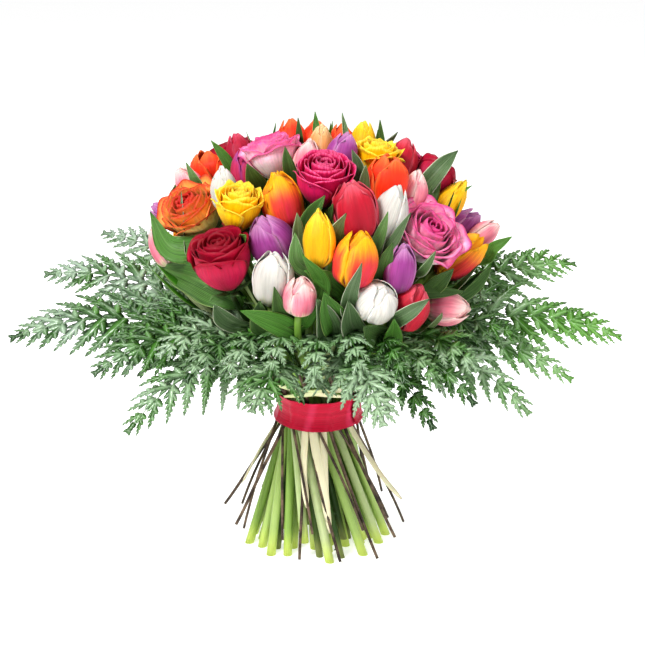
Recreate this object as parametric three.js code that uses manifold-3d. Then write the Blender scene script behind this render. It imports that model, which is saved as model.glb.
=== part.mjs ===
// A hand-tied bouquet of tulips and roses in a collar of leatherleaf fern. The stems are laid in a spiral,
// held by one satin ribbon and cut level, so that the bouquet stands by itself on their ends.
//
// Frame: millimetres, +Z up, the origin on the table under the middle of the bouquet. It is looked at along +Y.
// Flowers, leaves and fronds are placed by hand. A place that is read from the front is given in the picture
// plane, the upright plane through the bouquet's middle that faces the eye: across is measured to the right of
// the middle, and up from the point that the eye is aimed at.

import * as THREE from "three";
import { ConvexGeometry } from "three/addons/geometries/ConvexGeometry.js";
import { mergeVertices } from "three/addons/utils/BufferGeometryUtils.js";
import Module from "manifold-3d";

const wasm = await Module();
wasm.setup();

const { Vector2, Vector3 } = THREE;
const DEG = Math.PI / 180;
const UP = new Vector3(0, 0, 1);
const INTO_PICTURE = new Vector3(0, 1, 0);

// ---------------------------------------------------------------- driving dimensions

// The eye that the places are read with.
const EYE_RISE = 15 * DEG;
const EYE_DISTANCE = 1800;
const AIM = new Vector3(4.5, 0, 228);

// The dome through the middles of the flowers.
const DOME_HEIGHT = 262;
const DOME_RADIUS = 140;
const DOME_RISE = 152;

// The tie, and the spiral of stems that runs through it.
const TIE_HEIGHT = 147;
const STEM_PITCH = 4.1;
const FOOT_SPREAD = 2.35;
const FOOT_TURN = 54 * DEG;
const BLOOM_TURN = 15 * DEG;
const GOLDEN_TURN = Math.PI * (3 - Math.sqrt(5));
const STEM_SIDES = 4;
const STEM_RADIUS = { tulip: 4.1, rose: 3.2 };
const SHORTEST_CUT = 34;
const HUB_RADIUS = 30;
const HUB_HEIGHT = 12;

// The ribbon.
const RIBBON_WIDTH = 31;
const RIBBON_WAIST = 39.5;
const RIBBON_FLARE = 5;
const RIBBON_THICKNESS = 0.8;
const RIBBON_TILT = 6 * DEG;
const LAP_ARC = 42 * DEG;

// Leaves and ferns.
const LEAF_THICKNESS = 1.0;
const LEAF_FOLD = 0.24;
const FROND_THICKNESS = 1.1;
const FROND_PAIRS = 5;
const PINNA_POINTS = 5;
const STALK_RADIUS = 1.46;
const STALK_RING = 36.6;
const STALK_SPREAD = 2.6;
const FROND_SAG = 0.22;
// The roll of a frond that points straight to one side, so that its face is turned to the front.
const FROND_ROLL = 45 * DEG;

// Space left between two pieces that touch in the real bouquet.
const GAP = 0.35;
// How far a cut face may move where its needless vertices are taken out.
const SLACK = 0.002;

const COLOURS = {
  white: 0xf2efe6,
  yellow: 0xf7bd0d,
  flame: 0xf47a1c,
  purple: 0x8a3f94,
  pink: 0xdf7592,
  red: 0xc3213d,
  coral: 0xf23d22,
  peach: 0xe9a265,
  crimson: 0xb30f35,
  magenta: 0xc8175a,
  sunset: 0xee6a24,
  blush: 0xe8628f,
  leaf: 0x4d7a35,
  fern: 0x3f6b3c,
  ribbon: 0xc00f3c,
};

// ---------------------------------------------------------------- what is in the bouquet

// Each flower: name, kind, colour, across, up, length, width, lean, nod, open.
// Lean is its tilt in the picture plane, clockwise from upright; nod is its tilt towards the eye; both in
// degrees. Open is 0 for a shut bud and 1 for a cup.
const FRONT_FLOWERS = [
  ["tulip_pink_bud_front", "tulip", "pink", -18, 27, 42, 30, 6, 35, 0.05],
  ["tulip_white_front_right", "tulip", "white", 59, 22, 44, 38, 25, 48, 0.1],
  ["tulip_red_front_right", "tulip", "red", 92, 16, 50, 36, 30, 25, 0.1],
  ["tulip_pink_low_right", "tulip", "pink", 130, 14, 46, 32, 92, 15, 0.15],
  ["tulip_white_front_left", "tulip", "white", -45, 44, 54, 37, 4, 18, 0.25],
  ["rose_crimson_front_left", "rose", "crimson", -94, 58, 58, 62, -14, 34, 0],
  ["tulip_purple_front_right", "tulip", "purple", 82, 54, 50, 29, 8, 16, 0.1],
  ["tulip_flame_front", "tulip", "flame", 38, 63, 57, 40, 12, 16, 0.1],
  ["tulip_flame_right", "tulip", "flame", 143, 67, 62, 36, 52, 14, 0.15],
  ["tulip_pink_far_left", "tulip", "pink", -157, 76, 46, 22, -25, -5, 0.05],
  ["tulip_purple_left", "tulip", "purple", -46, 81, 56, 42, -28, 22, 0.2],
  ["tulip_yellow_front", "tulip", "yellow", 1, 84, 57, 29, 0, 8, 0.0],
  ["rose_blush_right", "rose", "blush", 106, 85, 50, 66, 38, 46, 0],
  ["tulip_pink_behind_right", "tulip", "pink", 166, 89, 38, 22, 55, -10, 0.1],
  ["tulip_purple_far_right", "tulip", "purple", 144, 95, 47, 30, 48, 5, 0.1],
  ["tulip_purple_far_left", "tulip", "purple", -150, 107, 40, 22, -60, 0, 0.1],
  ["rose_sunset_left", "rose", "sunset", -123, 107, 52, 60, -36, 40, 0],
  ["tulip_white_tall_right", "tulip", "white", 72, 107, 62, 32, 18, 5, 0.1],
  ["rose_yellow_left", "rose", "yellow", -79, 112, 46, 46, 6, 30, 0],
  ["tulip_red_centre", "tulip", "red", 37, 112, 60, 41, -12, 10, 0.35],
  ["tulip_flame_left", "tulip", "flame", -36, 121, 60, 38, -14, 8, 0.2],
  ["tulip_yellow_right", "tulip", "yellow", 133, 121, 54, 26, 38, 0, 0.05],
  ["tulip_pink_right", "tulip", "pink", 96, 130, 46, 26, 14, 8, 0.05],
  ["tulip_white_left", "tulip", "white", -94, 134, 46, 25, -6, 8, 0.1],
  ["tulip_pink_behind_left", "tulip", "pink", -128, 138, 42, 26, -35, -5, 0.1],
  ["rose_magenta_centre", "rose", "magenta", 6, 139, 54, 58, 2, 38, 0],
  ["rose_crimson_behind_right", "rose", "crimson", 111, 141, 46, 46, 38, -10, 0],
  ["tulip_coral_right", "tulip", "coral", 69, 141, 54, 38, 8, 12, 0.5],
  ["tulip_magenta_left", "tulip", "magenta", -72, 150, 48, 28, -6, 8, 0.15],
  ["tulip_coral_left", "tulip", "coral", -104, 151, 50, 42, -14, 12, 0.6],
  ["rose_yellow_top_right", "rose", "yellow", 57, 160, 44, 46, 10, 20, 0],
  ["tulip_red_top_right", "tulip", "red", 84, 161, 50, 30, 16, 0, 0.15],
  ["tulip_pink_top", "tulip", "pink", -11, 162, 44, 26, 8, 8, 0.05],
  ["rose_blush_top_left", "rose", "blush", -46, 164, 46, 54, -14, 12, 0],
  ["tulip_purple_top", "tulip", "purple", 24, 170, 42, 28, 18, 8, 0.15],
  ["tulip_crimson_top_left", "tulip", "crimson", -79, 170, 40, 24, -14, 0, 0.1],
  ["tulip_peach_top", "tulip", "peach", 3, 176, 46, 24, 2, 4, 0.05],
  ["tulip_yellow_top_right", "tulip", "yellow", 45, 179, 46, 24, 5, 0, 0.15],
];

// How much nearer the eye than its place on the dome a front flower is taken to be when they are set in front of
// one another.
const BROUGHT_FORWARD = { tulip_flame_right: 12 };

// Flowers that stand shoulder to shoulder, up to three of a kind: name, kind, colour, turn, lean, count, length,
// width. Turn is the bearing of the middle one in degrees, anticlockwise from +X; lean is from upright. Where
// they touch they are one body.
const FLOWER_GROUPS = [
  ["tulips_coral_top", "tulip", "coral", 92, 22, 3, 44, 28],
  ["tulips_pink_rear_right", "tulip", "pink", 29, 76, 2, 54, 38],
  ["tulips_yellow_rear", "tulip", "yellow", 69, 76, 3, 56, 38],
  ["tulips_white_rear", "tulip", "white", 111, 76, 3, 56, 38],
  ["tulips_flame_rear_left", "tulip", "flame", 151, 76, 2, 54, 38],
  ["roses_magenta_rear_right", "rose", "magenta", 48, 44, 2, 52, 60],
  ["tulips_purple_rear", "tulip", "purple", 90, 40, 2, 52, 38],
  ["roses_crimson_rear_left", "rose", "crimson", 132, 44, 2, 52, 60],
];

// Each leaf that shows from the front: tip across, tip up, and where it leaves the flowers below, across and up,
// then its width there and how far its tip stands out of the dome.
const FRONT_LEAVES = [
  [-168, 111, -115, 64, 27, 12],
  [-157, 61, -98, 34, 36, 8],
  [-71, 159, -66, 128, 21, 12],
  [-33, 176, -24, 140, 14, 14],
  [7, 127, -12, 88, 18, 12],
  [30, 110, 20, 66, 27, 4],
  [-23, 90, -6, 60, 18, 6],
  [-16, 68, 2, 0, 18, 14],
  [44, 60, 31, 0, 20, 22],
  [6, 30, 22, -12, 30, 8],
  [75, 80, 62, 42, 18, 12],
  [93, 110, 60, 60, 13, 16],
  [118, 72, 92, 56, 20, 20],
  [136, 54, 106, 32, 20, 12],
  [174, 57, 134, 20, 25, 3],
  [112, 24, 74, 6, 20, 22],
  [124, 10, 116, -12, 20, 14],
  [45, -4, 60, -10, 22, 10],
  [-78, 12, -16, -4, 22, 20],
  [-132, 160, -118, 130, 12, 14],
  [13, 200, 12, 172, 11, 14],
  [60, 193, 56, 158, 13, 14],
  [80, 191, 76, 156, 14, 14],
  [140, 172, 94, 132, 20, 22],
  [124, 158, 104, 112, 14, 16],
  [149, 133, 112, 128, 16, 14],
  [34, 173, 36, 130, 14, 8],
  [194, 86, 168, 70, 13, 3],
];

// Leaves behind: turn and lean of the tip, in degrees, and width.
const REAR_LEAVES = [
  [20, 60, 26],
  [48, 90, 30],
  [69, 56, 24],
  [90, 92, 30],
  [111, 56, 24],
  [132, 90, 30],
  [160, 60, 26],
];

// Each frond node: the fronds that are one body. A frond is its tip in the frame, the rise of its arch above the
// tip and the half width of its blade.
const FROND_NODES = {
  fern_left: [
    { tip: [-303, -22, 218], arch: 56, half: 84 },
    { tip: [-212, -98, 204], arch: 66, half: 78 },
  ],
  fern_left_front: [{ tip: [-178, -134, 158], arch: 92, half: 70 }],
  fern_front_left: [{ tip: [-58, -214, 204], arch: 44, half: 84 }],
  fern_front: [{ tip: [58, -222, 194], arch: 68, half: 84 }],
  fern_front_right: [
    { tip: [106, -158, 170], arch: 74, half: 50 },
    { tip: [146, -128, 184], arch: 78, half: 54 },
  ],
  fern_right_front: [
    { tip: [202, -92, 163], arch: 92, half: 66 },
    { tip: [248, -44, 182], arch: 78, half: 66 },
  ],
  fern_right: [{ tip: [305, 18, 208], arch: 62, half: 84 }],
  fern_right_rear: [
    { tip: [270, 112, 262], arch: 20, half: 84 },
    { tip: [180, 190, 268], arch: 16, half: 80 },
  ],
  fern_rear: [
    { tip: [66, 224, 262], arch: 14, half: 82 },
    { tip: [-66, 224, 254], arch: 16, half: 82 },
  ],
  fern_left_rear: [
    { tip: [-232, 164, 284], arch: 6, half: 74 },
    { tip: [-280, 66, 262], arch: 22, half: 82 },
  ],
  fern_rear_left: [{ tip: [-160, 196, 236], arch: 30, half: 72 }],
};

// ---------------------------------------------------------------- solids

// The closed solid of a geometry, whichever way its faces were wound.
function solidOf(geometry) {
  const bare = new THREE.BufferGeometry();
  bare.setAttribute("position", geometry.getAttribute("position"));
  bare.setIndex(geometry.index);
  const merged = mergeVertices(bare, 1e-4);
  const vertProperties = new Float32Array(merged.attributes.position.array);
  const corners = merged.index.array;
  const kept = [];
  for (let i = 0; i < corners.length; i += 3) {
    const [a, b, c] = [corners[i], corners[i + 1], corners[i + 2]];
    if (a !== b && b !== c && c !== a) kept.push(a, b, c);
  }
  const build = (triangles) =>
    new wasm.Manifold(new wasm.Mesh({ numProp: 3, vertProperties, triVerts: new Uint32Array(triangles) }));
  const made = build(kept);
  if (made.volume() >= 0) return made;
  return build(kept.map((_, i) => kept[i - (i % 3) + 2 - (i % 3)]));
}

// The largest body of a solid, without the needless vertices of its cuts: what a cut has left loose is dropped.
function largestBody(solid) {
  const bodies = solid.simplify(SLACK).decompose();
  return bodies.reduce((best, body) => (body.volume() > best.volume() ? body : best));
}

function boxesTouch(a, b) {
  const [p, q] = [a.boundingBox(), b.boundingBox()];
  return [0, 1, 2].every((k) => p.min[k] < q.max[k] && q.min[k] < p.max[k]);
}

// A solid cut clear of every cutter that reaches it.
function cutClear(solid, cutters) {
  const near = cutters.filter((cutter) => boxesTouch(solid, cutter));
  return largestBody(near.reduce((left, cutter) => left.subtract(cutter), solid));
}

function meshOf(name, solid, colour, roughness = 0.6) {
  const { numProp, vertProperties, triVerts } = solid.getMesh();
  const position = new Float32Array((vertProperties.length / numProp) * 3);
  for (let i = 0; i * numProp < vertProperties.length; i++) {
    position.set(vertProperties.subarray(i * numProp, i * numProp + 3), i * 3);
  }
  const geometry = new THREE.BufferGeometry()
    .setAttribute("position", new THREE.BufferAttribute(position, 3))
    .setIndex(new THREE.BufferAttribute(new Uint32Array(triVerts), 1));
  geometry.computeVertexNormals();
  const material = new THREE.MeshStandardMaterial({ color: colour, roughness, metalness: 0 });
  const mesh = new THREE.Mesh(geometry, material);
  mesh.name = name;
  return mesh;
}

// Moves each vertex of a geometry to where place(vertex, index) says.
function moved(geometry, place) {
  const position = geometry.getAttribute("position");
  const vertex = new Vector3();
  for (let i = 0; i < position.count; i++) {
    vertex.fromBufferAttribute(position, i);
    const p = place(vertex, i);
    position.setXYZ(i, p.x, p.y, p.z);
  }
  return geometry;
}

// ---------------------------------------------------------------- places on the dome

const EYE = new Vector3(AIM.x, -EYE_DISTANCE * Math.cos(EYE_RISE), AIM.z + EYE_DISTANCE * Math.sin(EYE_RISE));
const LOOKING = AIM.clone().sub(EYE).normalize();
const PICTURE_UP = new Vector3(0, Math.sin(EYE_RISE), Math.cos(EYE_RISE));

function sightline(across, up) {
  return AIM.clone().setX(across).addScaledVector(PICTURE_UP, up).sub(EYE).normalize();
}

// The point at (across, up) in the picture on the dome, grown outward; a line that passes the dome gives its
// nearest point to it.
function onDome(across, up, outward = 0) {
  const line = sightline(across, up);
  const scale = new Vector3(1 / (DOME_RADIUS + outward), 1 / (DOME_RADIUS + outward), 1 / (DOME_RISE + outward));
  const from = EYE.clone().setZ(EYE.z - DOME_HEIGHT).multiply(scale);
  const along = line.clone().multiply(scale);
  const a = along.dot(along);
  const b = from.dot(along);
  const under = b * b - a * (from.dot(from) - 1);
  const reach = (-b - Math.sqrt(Math.max(under, 0))) / a;
  return EYE.clone().addScaledVector(line, reach);
}

// The direction at a bearing and a lean from upright.
function bearing(turn, lean) {
  const flat = Math.sin(lean * DEG);
  return new Vector3(flat * Math.cos(turn * DEG), flat * Math.sin(turn * DEG), Math.cos(lean * DEG));
}

// The point of the dome at a bearing and a lean from its middle.
function domePoint(turn, lean, outward = 0) {
  const d = bearing(turn, lean);
  const size = new Vector3(DOME_RADIUS + outward, DOME_RADIUS + outward, DOME_RISE + outward);
  return d.multiply(size).setZ(d.z + DOME_HEIGHT);
}

// ---------------------------------------------------------------- flowers

function frontFlower([name, kind, colour, across, up, length, width, lean, nod, open], index) {
  const inPicture = new Vector3(Math.sin(lean * DEG), 0, 0).addScaledVector(PICTURE_UP, Math.cos(lean * DEG));
  const axis = inPicture.multiplyScalar(Math.cos(nod * DEG)).addScaledVector(LOOKING, -Math.sin(nod * DEG));
  const centre = onDome(across, up);
  const spin = index * GOLDEN_TURN;
  return { name, kind, colour, length, width, open, axis, centre, spin, line: sightline(across, up) };
}

function groupFlowers([name, kind, colour, turn, lean, count, length, width]) {
  const overlap = 0.91;
  const ring = DOME_RADIUS * Math.sin(lean * DEG);
  const step = (width * overlap) / Math.max(ring, width) / DEG;
  return Array.from({ length: count }, (_, i) => {
    const offset = (i - (count - 1) / 2) * step;
    const centre = domePoint(turn + offset, lean);
    const axis = bearing(turn + offset * 0.5, lean * 0.78);
    return { name, kind, colour, length, width, open: 0.15, axis, centre, spin: 0 };
  });
}

// The round cores that stand for a flower when it is kept clear of its neighbours.
function coresOf(flower) {
  const { centre, axis, length, width, kind } = flower;
  if (kind === "rose") return [{ at: centre.clone(), radius: width * 0.46 }];
  return [
    { at: centre.clone().addScaledVector(axis, -length * 0.14), radius: width * 0.46 },
    { at: centre.clone().addScaledVector(axis, length * 0.2), radius: width * 0.38 },
  ];
}

// How far a flower moves from the eye along its own line of sight to clear another that stands nearer.
function shiftToClear(flower, nearer) {
  let shift = 0;
  for (const core of coresOf(flower)) {
    for (const other of coresOf(nearer)) {
      const between = core.at.clone().sub(other.at);
      const along = between.dot(flower.line);
      const beside = between.lengthSq() - along * along;
      const reach = core.radius + other.radius;
      if (between.length() < reach) shift = Math.max(shift, Math.sqrt(Math.max(reach * reach - beside, 0)) - along);
    }
  }
  return shift;
}

// Settles the front flowers, nearest first, so that each one clears those in front of it.
function settled(flowers) {
  const placed = [];
  const distance = (flower) => flower.centre.distanceTo(EYE) - (BROUGHT_FORWARD[flower.name] ?? 0);
  const byDistance = [...flowers].sort((a, b) => distance(a) - distance(b));
  for (const flower of byDistance) {
    for (let pass = 0; pass < 3; pass++) {
      const shift = placed.reduce((most, nearer) => Math.max(most, shiftToClear(flower, nearer)), 0);
      flower.centre.addScaledVector(flower.line, shift);
    }
    placed.push(flower);
  }
  return flowers;
}

const frontFlowers = settled(FRONT_FLOWERS.map(frontFlower));
const rearFlowers = FLOWER_GROUPS.flatMap(groupFlowers);
const flowers = [...frontFlowers, ...rearFlowers];

// Two directions across an axis, which make a right-handed frame with it.
function across(axis, spin) {
  const side = new Vector3().crossVectors(INTO_PICTURE, axis).normalize().applyAxisAngle(axis, spin);
  return [side, new Vector3().crossVectors(side, axis)];
}

// A tulip's rings, from the bottom of its cup over the petal tips to the stem: share of the length, share of the
// half width, and how much the seams between petals fall below and inside the petals' middles.
const TULIP_RINGS = [
  { high: 0.68, out: 0, fall: 0, inset: 0 },
  { high: 1.0, out: 0.34, fall: 0.17, inset: -0.25 },
  { high: 0.74, out: 0.86, fall: 0.02, inset: 0.14 },
  { high: 0.36, out: 1.04, fall: 0, inset: 0.13 },
  { high: 0.1, out: 0.66, fall: 0, inset: 0.1 },
  { high: 0.0, out: 0, fall: 0, inset: 0 },
];
const TULIP_PETALS = 6;
const BUD_PETALS = 3;
const BUD_WIDTH = 27;

// A rose's rings, from its heart out over three rims of petals and down to the stem. Turned rings have their
// petals between those of the rings outside them.
const ROSE_RINGS = [
  { high: 0.95, out: 0, fall: 0, inset: 0 },
  { high: 0.8, out: 0.15, fall: 0, inset: 0 },
  { high: 1.0, out: 0.34, fall: 0.05, inset: 0.12 },
  { high: 0.76, out: 0.46, fall: 0, inset: 0, turned: true },
  { high: 0.95, out: 0.68, fall: 0.09, inset: 0.12, turned: true },
  { high: 0.64, out: 0.78, fall: 0, inset: 0 },
  { high: 0.8, out: 1.06, fall: 0.1, inset: 0.14 },
  { high: 0.4, out: 0.86, fall: 0, inset: 0.1 },
  { high: 0.1, out: 0.42, fall: 0, inset: 0 },
  { high: 0.0, out: 0, fall: 0, inset: 0 },
];
const ROSE_PETALS = 5;

// A narrow bud shows only its three outer petals.
function tulipPetals(width) {
  return width < BUD_WIDTH ? BUD_PETALS : TULIP_PETALS;
}

// A flower raised from a ball: its columns are the middles of petals and the seams between them, by turns.
function flowerSolid({ kind, centre, axis, spin, length, width, open }) {
  const [rings, petals] = kind === "rose" ? [ROSE_RINGS, ROSE_PETALS] : [TULIP_RINGS, tulipPetals(width)];
  const columns = petals * 2;
  const [side, front] = across(axis, spin);
  const ball = new THREE.SphereGeometry(1, columns, rings.length - 1);
  const shape = (_, index) => {
    const ring = rings[Math.floor(index / (columns + 1))];
    const column = (index % (columns + 1)) % columns;
    const seam = (column + (ring.turned ? 1 : 0)) % 2;
    const inner = petals === TULIP_PETALS && column % 4 === 2 ? 0.93 : 1;
    const opened = ring.high > 0.9 && kind === "tulip" ? open * 0.5 : 0;
    const high = (ring.high - seam * ring.fall - opened * 0.1 - 0.5) * length;
    const out = (ring.out + opened) * (1 - seam * ring.inset) * inner * width * 0.5;
    const turn = (column / columns) * 2 * Math.PI;
    return centre
      .clone()
      .addScaledVector(axis, high)
      .addScaledVector(side, -out * Math.cos(turn))
      .addScaledVector(front, out * Math.sin(turn));
  };
  return solidOf(moved(ball, shape));
}

// What other pieces are cut by to clear a flower: its wrapping, a little larger than life.
function flowerCutter(flower) {
  const { vertProperties } = flowerSolid(flower).getMesh();
  const points = Array.from({ length: vertProperties.length / 3 }, (_, i) =>
    new Vector3().fromArray(vertProperties, i * 3).sub(flower.centre).multiplyScalar(grownBy(flower)).add(flower.centre),
  );
  return solidOf(new ConvexGeometry(points));
}

function grownBy(flower) {
  return 1 + (2 * GAP) / flower.width;
}

// Pushes a point out of every flower but one, through the nearest side of its egg-shaped outline.
function bentClear(point, margin, except) {
  const out = point.clone();
  for (const flower of flowers) {
    if (flower === except) continue;
    const offset = out.clone().sub(flower.centre);
    const along = offset.dot(flower.axis) / (flower.length / 2 + margin);
    const beside = offset.clone().addScaledVector(flower.axis, -offset.dot(flower.axis)).length();
    const depth = Math.hypot(along, beside / (flower.width / 2 + margin));
    if (depth < 1) out.copy(flower.centre).addScaledVector(offset, 1 / Math.max(depth, 0.25));
  }
  return out;
}

// ---------------------------------------------------------------- stems

// Slides an offset along a direction onto the plane through its foot with a normal.
function slid(offset, along, normal) {
  return offset.clone().addScaledVector(along, -offset.dot(normal) / along.dot(normal));
}

// A rod through the points, mitred at each bend. A cut end is level, as by one stroke of a knife.
function rod(points, radius, sides, cutLevel = false) {
  const rows = points.length - 1;
  const runs = points.slice(1).map((point, k) => point.clone().sub(points[k]).normalize());
  const side = new Vector3().crossVectors(runs[0], INTO_PICTURE).setLength(radius);
  const ring = Array.from({ length: sides }, (_, i) => side.clone().applyAxisAngle(runs[0], (i / sides) * 2 * Math.PI));
  const rings = points.map((point, k) => {
    const [before, after] = [runs[Math.max(k - 1, 0)], runs[Math.min(k, rows - 1)]];
    const normal = k === 0 && cutLevel ? UP : before.clone().add(after);
    return ring.map((offset) => {
      const corner = slid(offset, before, normal);
      offset.copy(corner).addScaledVector(after, -corner.dot(after));
      return corner.add(point);
    });
  });
  const place = ({ x, y, z }) => {
    const k = Math.round(rows / 2 + y);
    if (Math.hypot(x, z) < 0.5) return points[k].clone();
    return rings[k][(Math.round((Math.atan2(x, z) / 2 / Math.PI) * sides) + sides) % sides].clone();
  };
  return solidOf(moved(new THREE.CylinderGeometry(1, 1, rows, sides, rows), place));
}

// The place of a stem in the tie, counted outward along a sunflower spiral.
function tieSlot(index) {
  const radius = STEM_PITCH * Math.sqrt(index + 0.5);
  return new Vector3(radius * Math.cos(index * GOLDEN_TURN), radius * Math.sin(index * GOLDEN_TURN), TIE_HEIGHT);
}

// Where a stem that runs through the tie at a point passes a height below it, on its way to the table.
function belowTie(slot, height, spread = FOOT_SPREAD) {
  const foot = slot.clone().applyAxisAngle(UP, FOOT_TURN).setZ(0);
  foot.x *= spread;
  foot.y *= spread;
  return foot.lerp(slot, height / TIE_HEIGHT);
}

// Gives each flower a place in the tie below it: any two are exchanged as long as both together come nearer.
function sharedOut() {
  const scale = DOME_RADIUS / tieSlot(flowers.length).setZ(0).length();
  const miss = (flower, slot) => {
    const above = slot.clone().applyAxisAngle(UP, -BLOOM_TURN).multiplyScalar(scale);
    return (flower.centre.x - above.x) ** 2 + (flower.centre.y - above.y) ** 2;
  };
  const pairs = flowers.map((flower, i) => ({ flower, slot: tieSlot(i) }));
  for (let exchanged = true; exchanged; ) {
    exchanged = false;
    for (const a of pairs) {
      for (const b of pairs) {
        const gain = miss(a.flower, a.slot) + miss(b.flower, b.slot) - miss(a.flower, b.slot) - miss(b.flower, a.slot);
        if (gain > 1) {
          [a.slot, b.slot] = [b.slot, a.slot];
          exchanged = true;
        }
      }
    }
  }
  return pairs;
}

// Every third stem that stands inside the bundle is cut a little short; the outer ones reach the table.
function cutHeight(index, slot) {
  const outer = Math.hypot(slot.x, slot.y) > 0.72 * RIBBON_WAIST;
  return outer || index % 3 ? 0 : SHORTEST_CUT * (0.3 + 0.7 * ((index * 0.618) % 1));
}

// A stem: its radius, and its points at the foot, in the tie, on the way to the flower and below the flower.
function stemOf({ slot, flower }, index) {
  const radius = STEM_RADIUS[flower.kind];
  const foot = belowTie(slot, cutHeight(index, slot));
  const base = flower.centre.clone().addScaledVector(flower.axis, (-flower.length / 2) * grownBy(flower) - 0.02);
  const reach = base.distanceTo(slot);
  const climb = slot.clone().sub(foot).normalize().lerp(UP, 0.4).normalize();
  const curve = new THREE.CubicBezierCurve3(
    slot,
    slot.clone().addScaledVector(climb, reach * 0.3),
    base.clone().addScaledVector(flower.axis, -reach * 0.3),
    base,
  );
  return { radius, points: [foot, slot, bentClear(curve.getPoint(0.42), radius, flower), base] };
}

const stems = sharedOut().map(stemOf);

// ---------------------------------------------------------------- leaves

// A thin blade over a grid of points: rows from the root to the tip, each with its left edge, rib and right edge.
function blade(grid, grow = 0) {
  const rows = grid.length - 1;
  const clamp = (k) => Math.min(Math.max(k, 0), rows);
  const normals = grid.map((row, k) => {
    const along = grid[clamp(k + 1)][1].clone().sub(grid[clamp(k - 1)][1]);
    return new Vector3().crossVectors(row[2].clone().sub(row[0]), along).normalize();
  });
  const place = (vertex) => {
    const row = Math.round((vertex.y + 0.5) * rows);
    const column = Math.round(vertex.x * 2 + 1);
    const toEdge = grid[row][column].clone().sub(grid[row][1]).setLength(column === 1 ? 0 : grow);
    return grid[row][column].clone().add(toEdge).addScaledVector(normals[row], vertex.z * (LEAF_THICKNESS + 2 * grow));
  };
  return solidOf(moved(new THREE.BoxGeometry(1, 1, 1, 2, rows, 1), place));
}

// The places on the stems where a leaf can grow: between the tie and the flowers, well apart.
const leafNodes = stems.flatMap(({ points: [, slot, middle, base] }) => [
  ...[0.45, 0.7, 0.95].map((t) => slot.clone().lerp(middle, t)),
  ...[0.25, 0.5, 0.75].map((t) => middle.clone().lerp(base, t)),
]);

// Takes the free place on the stems that lies nearest to a point.
function takeLeafNode(point) {
  const place = leafNodes.reduce((best, other) => (other.distanceTo(point) < best.distanceTo(point) ? other : best));
  leafNodes.splice(leafNodes.indexOf(place), 1);
  return place;
}

// The shape of a tulip leaf: how wide it is at each share of its length.
const LEAF_SHAPE = [
  [0, 0.1],
  [0.36, 0.86],
  [0.7, 0.94],
  [1, 0.05],
];

function leafGrid({ tip, shown, width, facing }) {
  const root = takeLeafNode(shown.clone().lerp(new Vector3(0, 0, TIE_HEIGHT), 0.08));
  const rib = new THREE.QuadraticBezierCurve3(root, shown.clone().lerp(root, 0.15), tip);
  const across = new Vector3().crossVectors(tip.clone().sub(root), facing);
  return LEAF_SHAPE.map(([t, share]) => {
    const half = Math.max((width * share) / 2, 0.5);
    const line = rib.getPoint(t);
    const centre = t ? bentClear(line, 2 + half * 0.8) : line;
    const along = rib.getTangent(t);
    const side = across.clone().addScaledVector(along, -across.dot(along)).normalize();
    const rise = new Vector3().crossVectors(side, along).multiplyScalar(half * LEAF_FOLD);
    return [-1, 0, 1].map((sign) => centre.clone().addScaledVector(side, sign * half).addScaledVector(rise, sign ** 2));
  });
}

const leaves = [
  ...FRONT_LEAVES.map(([tipAcross, tipUp, shownAcross, shownUp, width, proud]) => {
    const shown = onDome(shownAcross, shownUp, -14);
    const facing = shown.clone().setZ(shown.z - DOME_HEIGHT).normalize().sub(LOOKING);
    return { tip: onDome(tipAcross, tipUp, proud + 6), shown, width, facing };
  }),
  ...REAR_LEAVES.map(([turn, lean, width]) => ({
    tip: domePoint(turn, lean, 26),
    shown: domePoint(turn, lean + 20, -22),
    width,
    facing: bearing(turn, lean + 10),
  })),
].map(leafGrid);

// The bundle: all the stems, held together where they press on each other in the tie, with the leaves that grow
// from them.
function bundle(grow = 0) {
  const hub = solidOf(moved(new THREE.CylinderGeometry(HUB_RADIUS, HUB_RADIUS, HUB_HEIGHT, 8), ({ x, y, z }) =>
    new Vector3(x, z, y + TIE_HEIGHT),
  ));
  const rods = stems.map(({ points, radius }) => rod(points, radius + grow, STEM_SIDES, true));
  const blades = leaves.map((grid) => blade(grid, grow));
  return wasm.Manifold.union([hub, ...rods, ...blades]);
}

// ---------------------------------------------------------------- fern

// The outline of a frond's blade, from its foot along one side to the tip and back: pinnae set by turns on the
// two sides of the rib, each cut into lobes. Every corner is moved outward by grow.
function frondOutline(length, half, grow) {
  const rib = 1.6;
  const slant = 62 * DEG;
  const pitch = length / (FROND_PAIRS + 0.9);
  const spread = pitch * 0.3;
  const sidePoints = (sign) => {
    const points = [];
    for (let k = 0; k < FROND_PAIRS; k++) {
      const start = (k + (sign > 0 ? 0.3 : 0.75)) * pitch;
      const reach = half * Math.min((1 - start / length) ** 0.8, 0.3 + (1.7 * start) / length);
      const at = (d, o) =>
        new Vector2(
          start + d * reach * Math.cos(slant) + o * spread * 2,
          sign * (rib + d * (reach * Math.sin(slant) - o * spread)),
        );
      points.push(at(0, -0.2), at(0.4, -0.62), at(0.5, -0.2), at(1, 0.05), at(0.36, 0.6));
    }
    points.push(new Vector2(length * 0.9, sign * rib));
    return points;
  };
  const ends = [new Vector2(0, -rib), new Vector2(0, rib), new Vector2(length, 0)];
  const outline = [ends[0], ends[1], ...sidePoints(1), ends[2], ...sidePoints(-1).reverse()];
  return outline.map((corner, i) => {
    const before = corner.clone().sub(outline.at(i - 1)).normalize();
    const after = outline[(i + 1) % outline.length].clone().sub(corner).normalize();
    const outward = new Vector2(-before.y - after.y, before.x + after.x);
    return corner.clone().addScaledVector(outward, (2 * grow) / Math.max(outward.lengthSq(), 0.6));
  });
}

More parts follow.
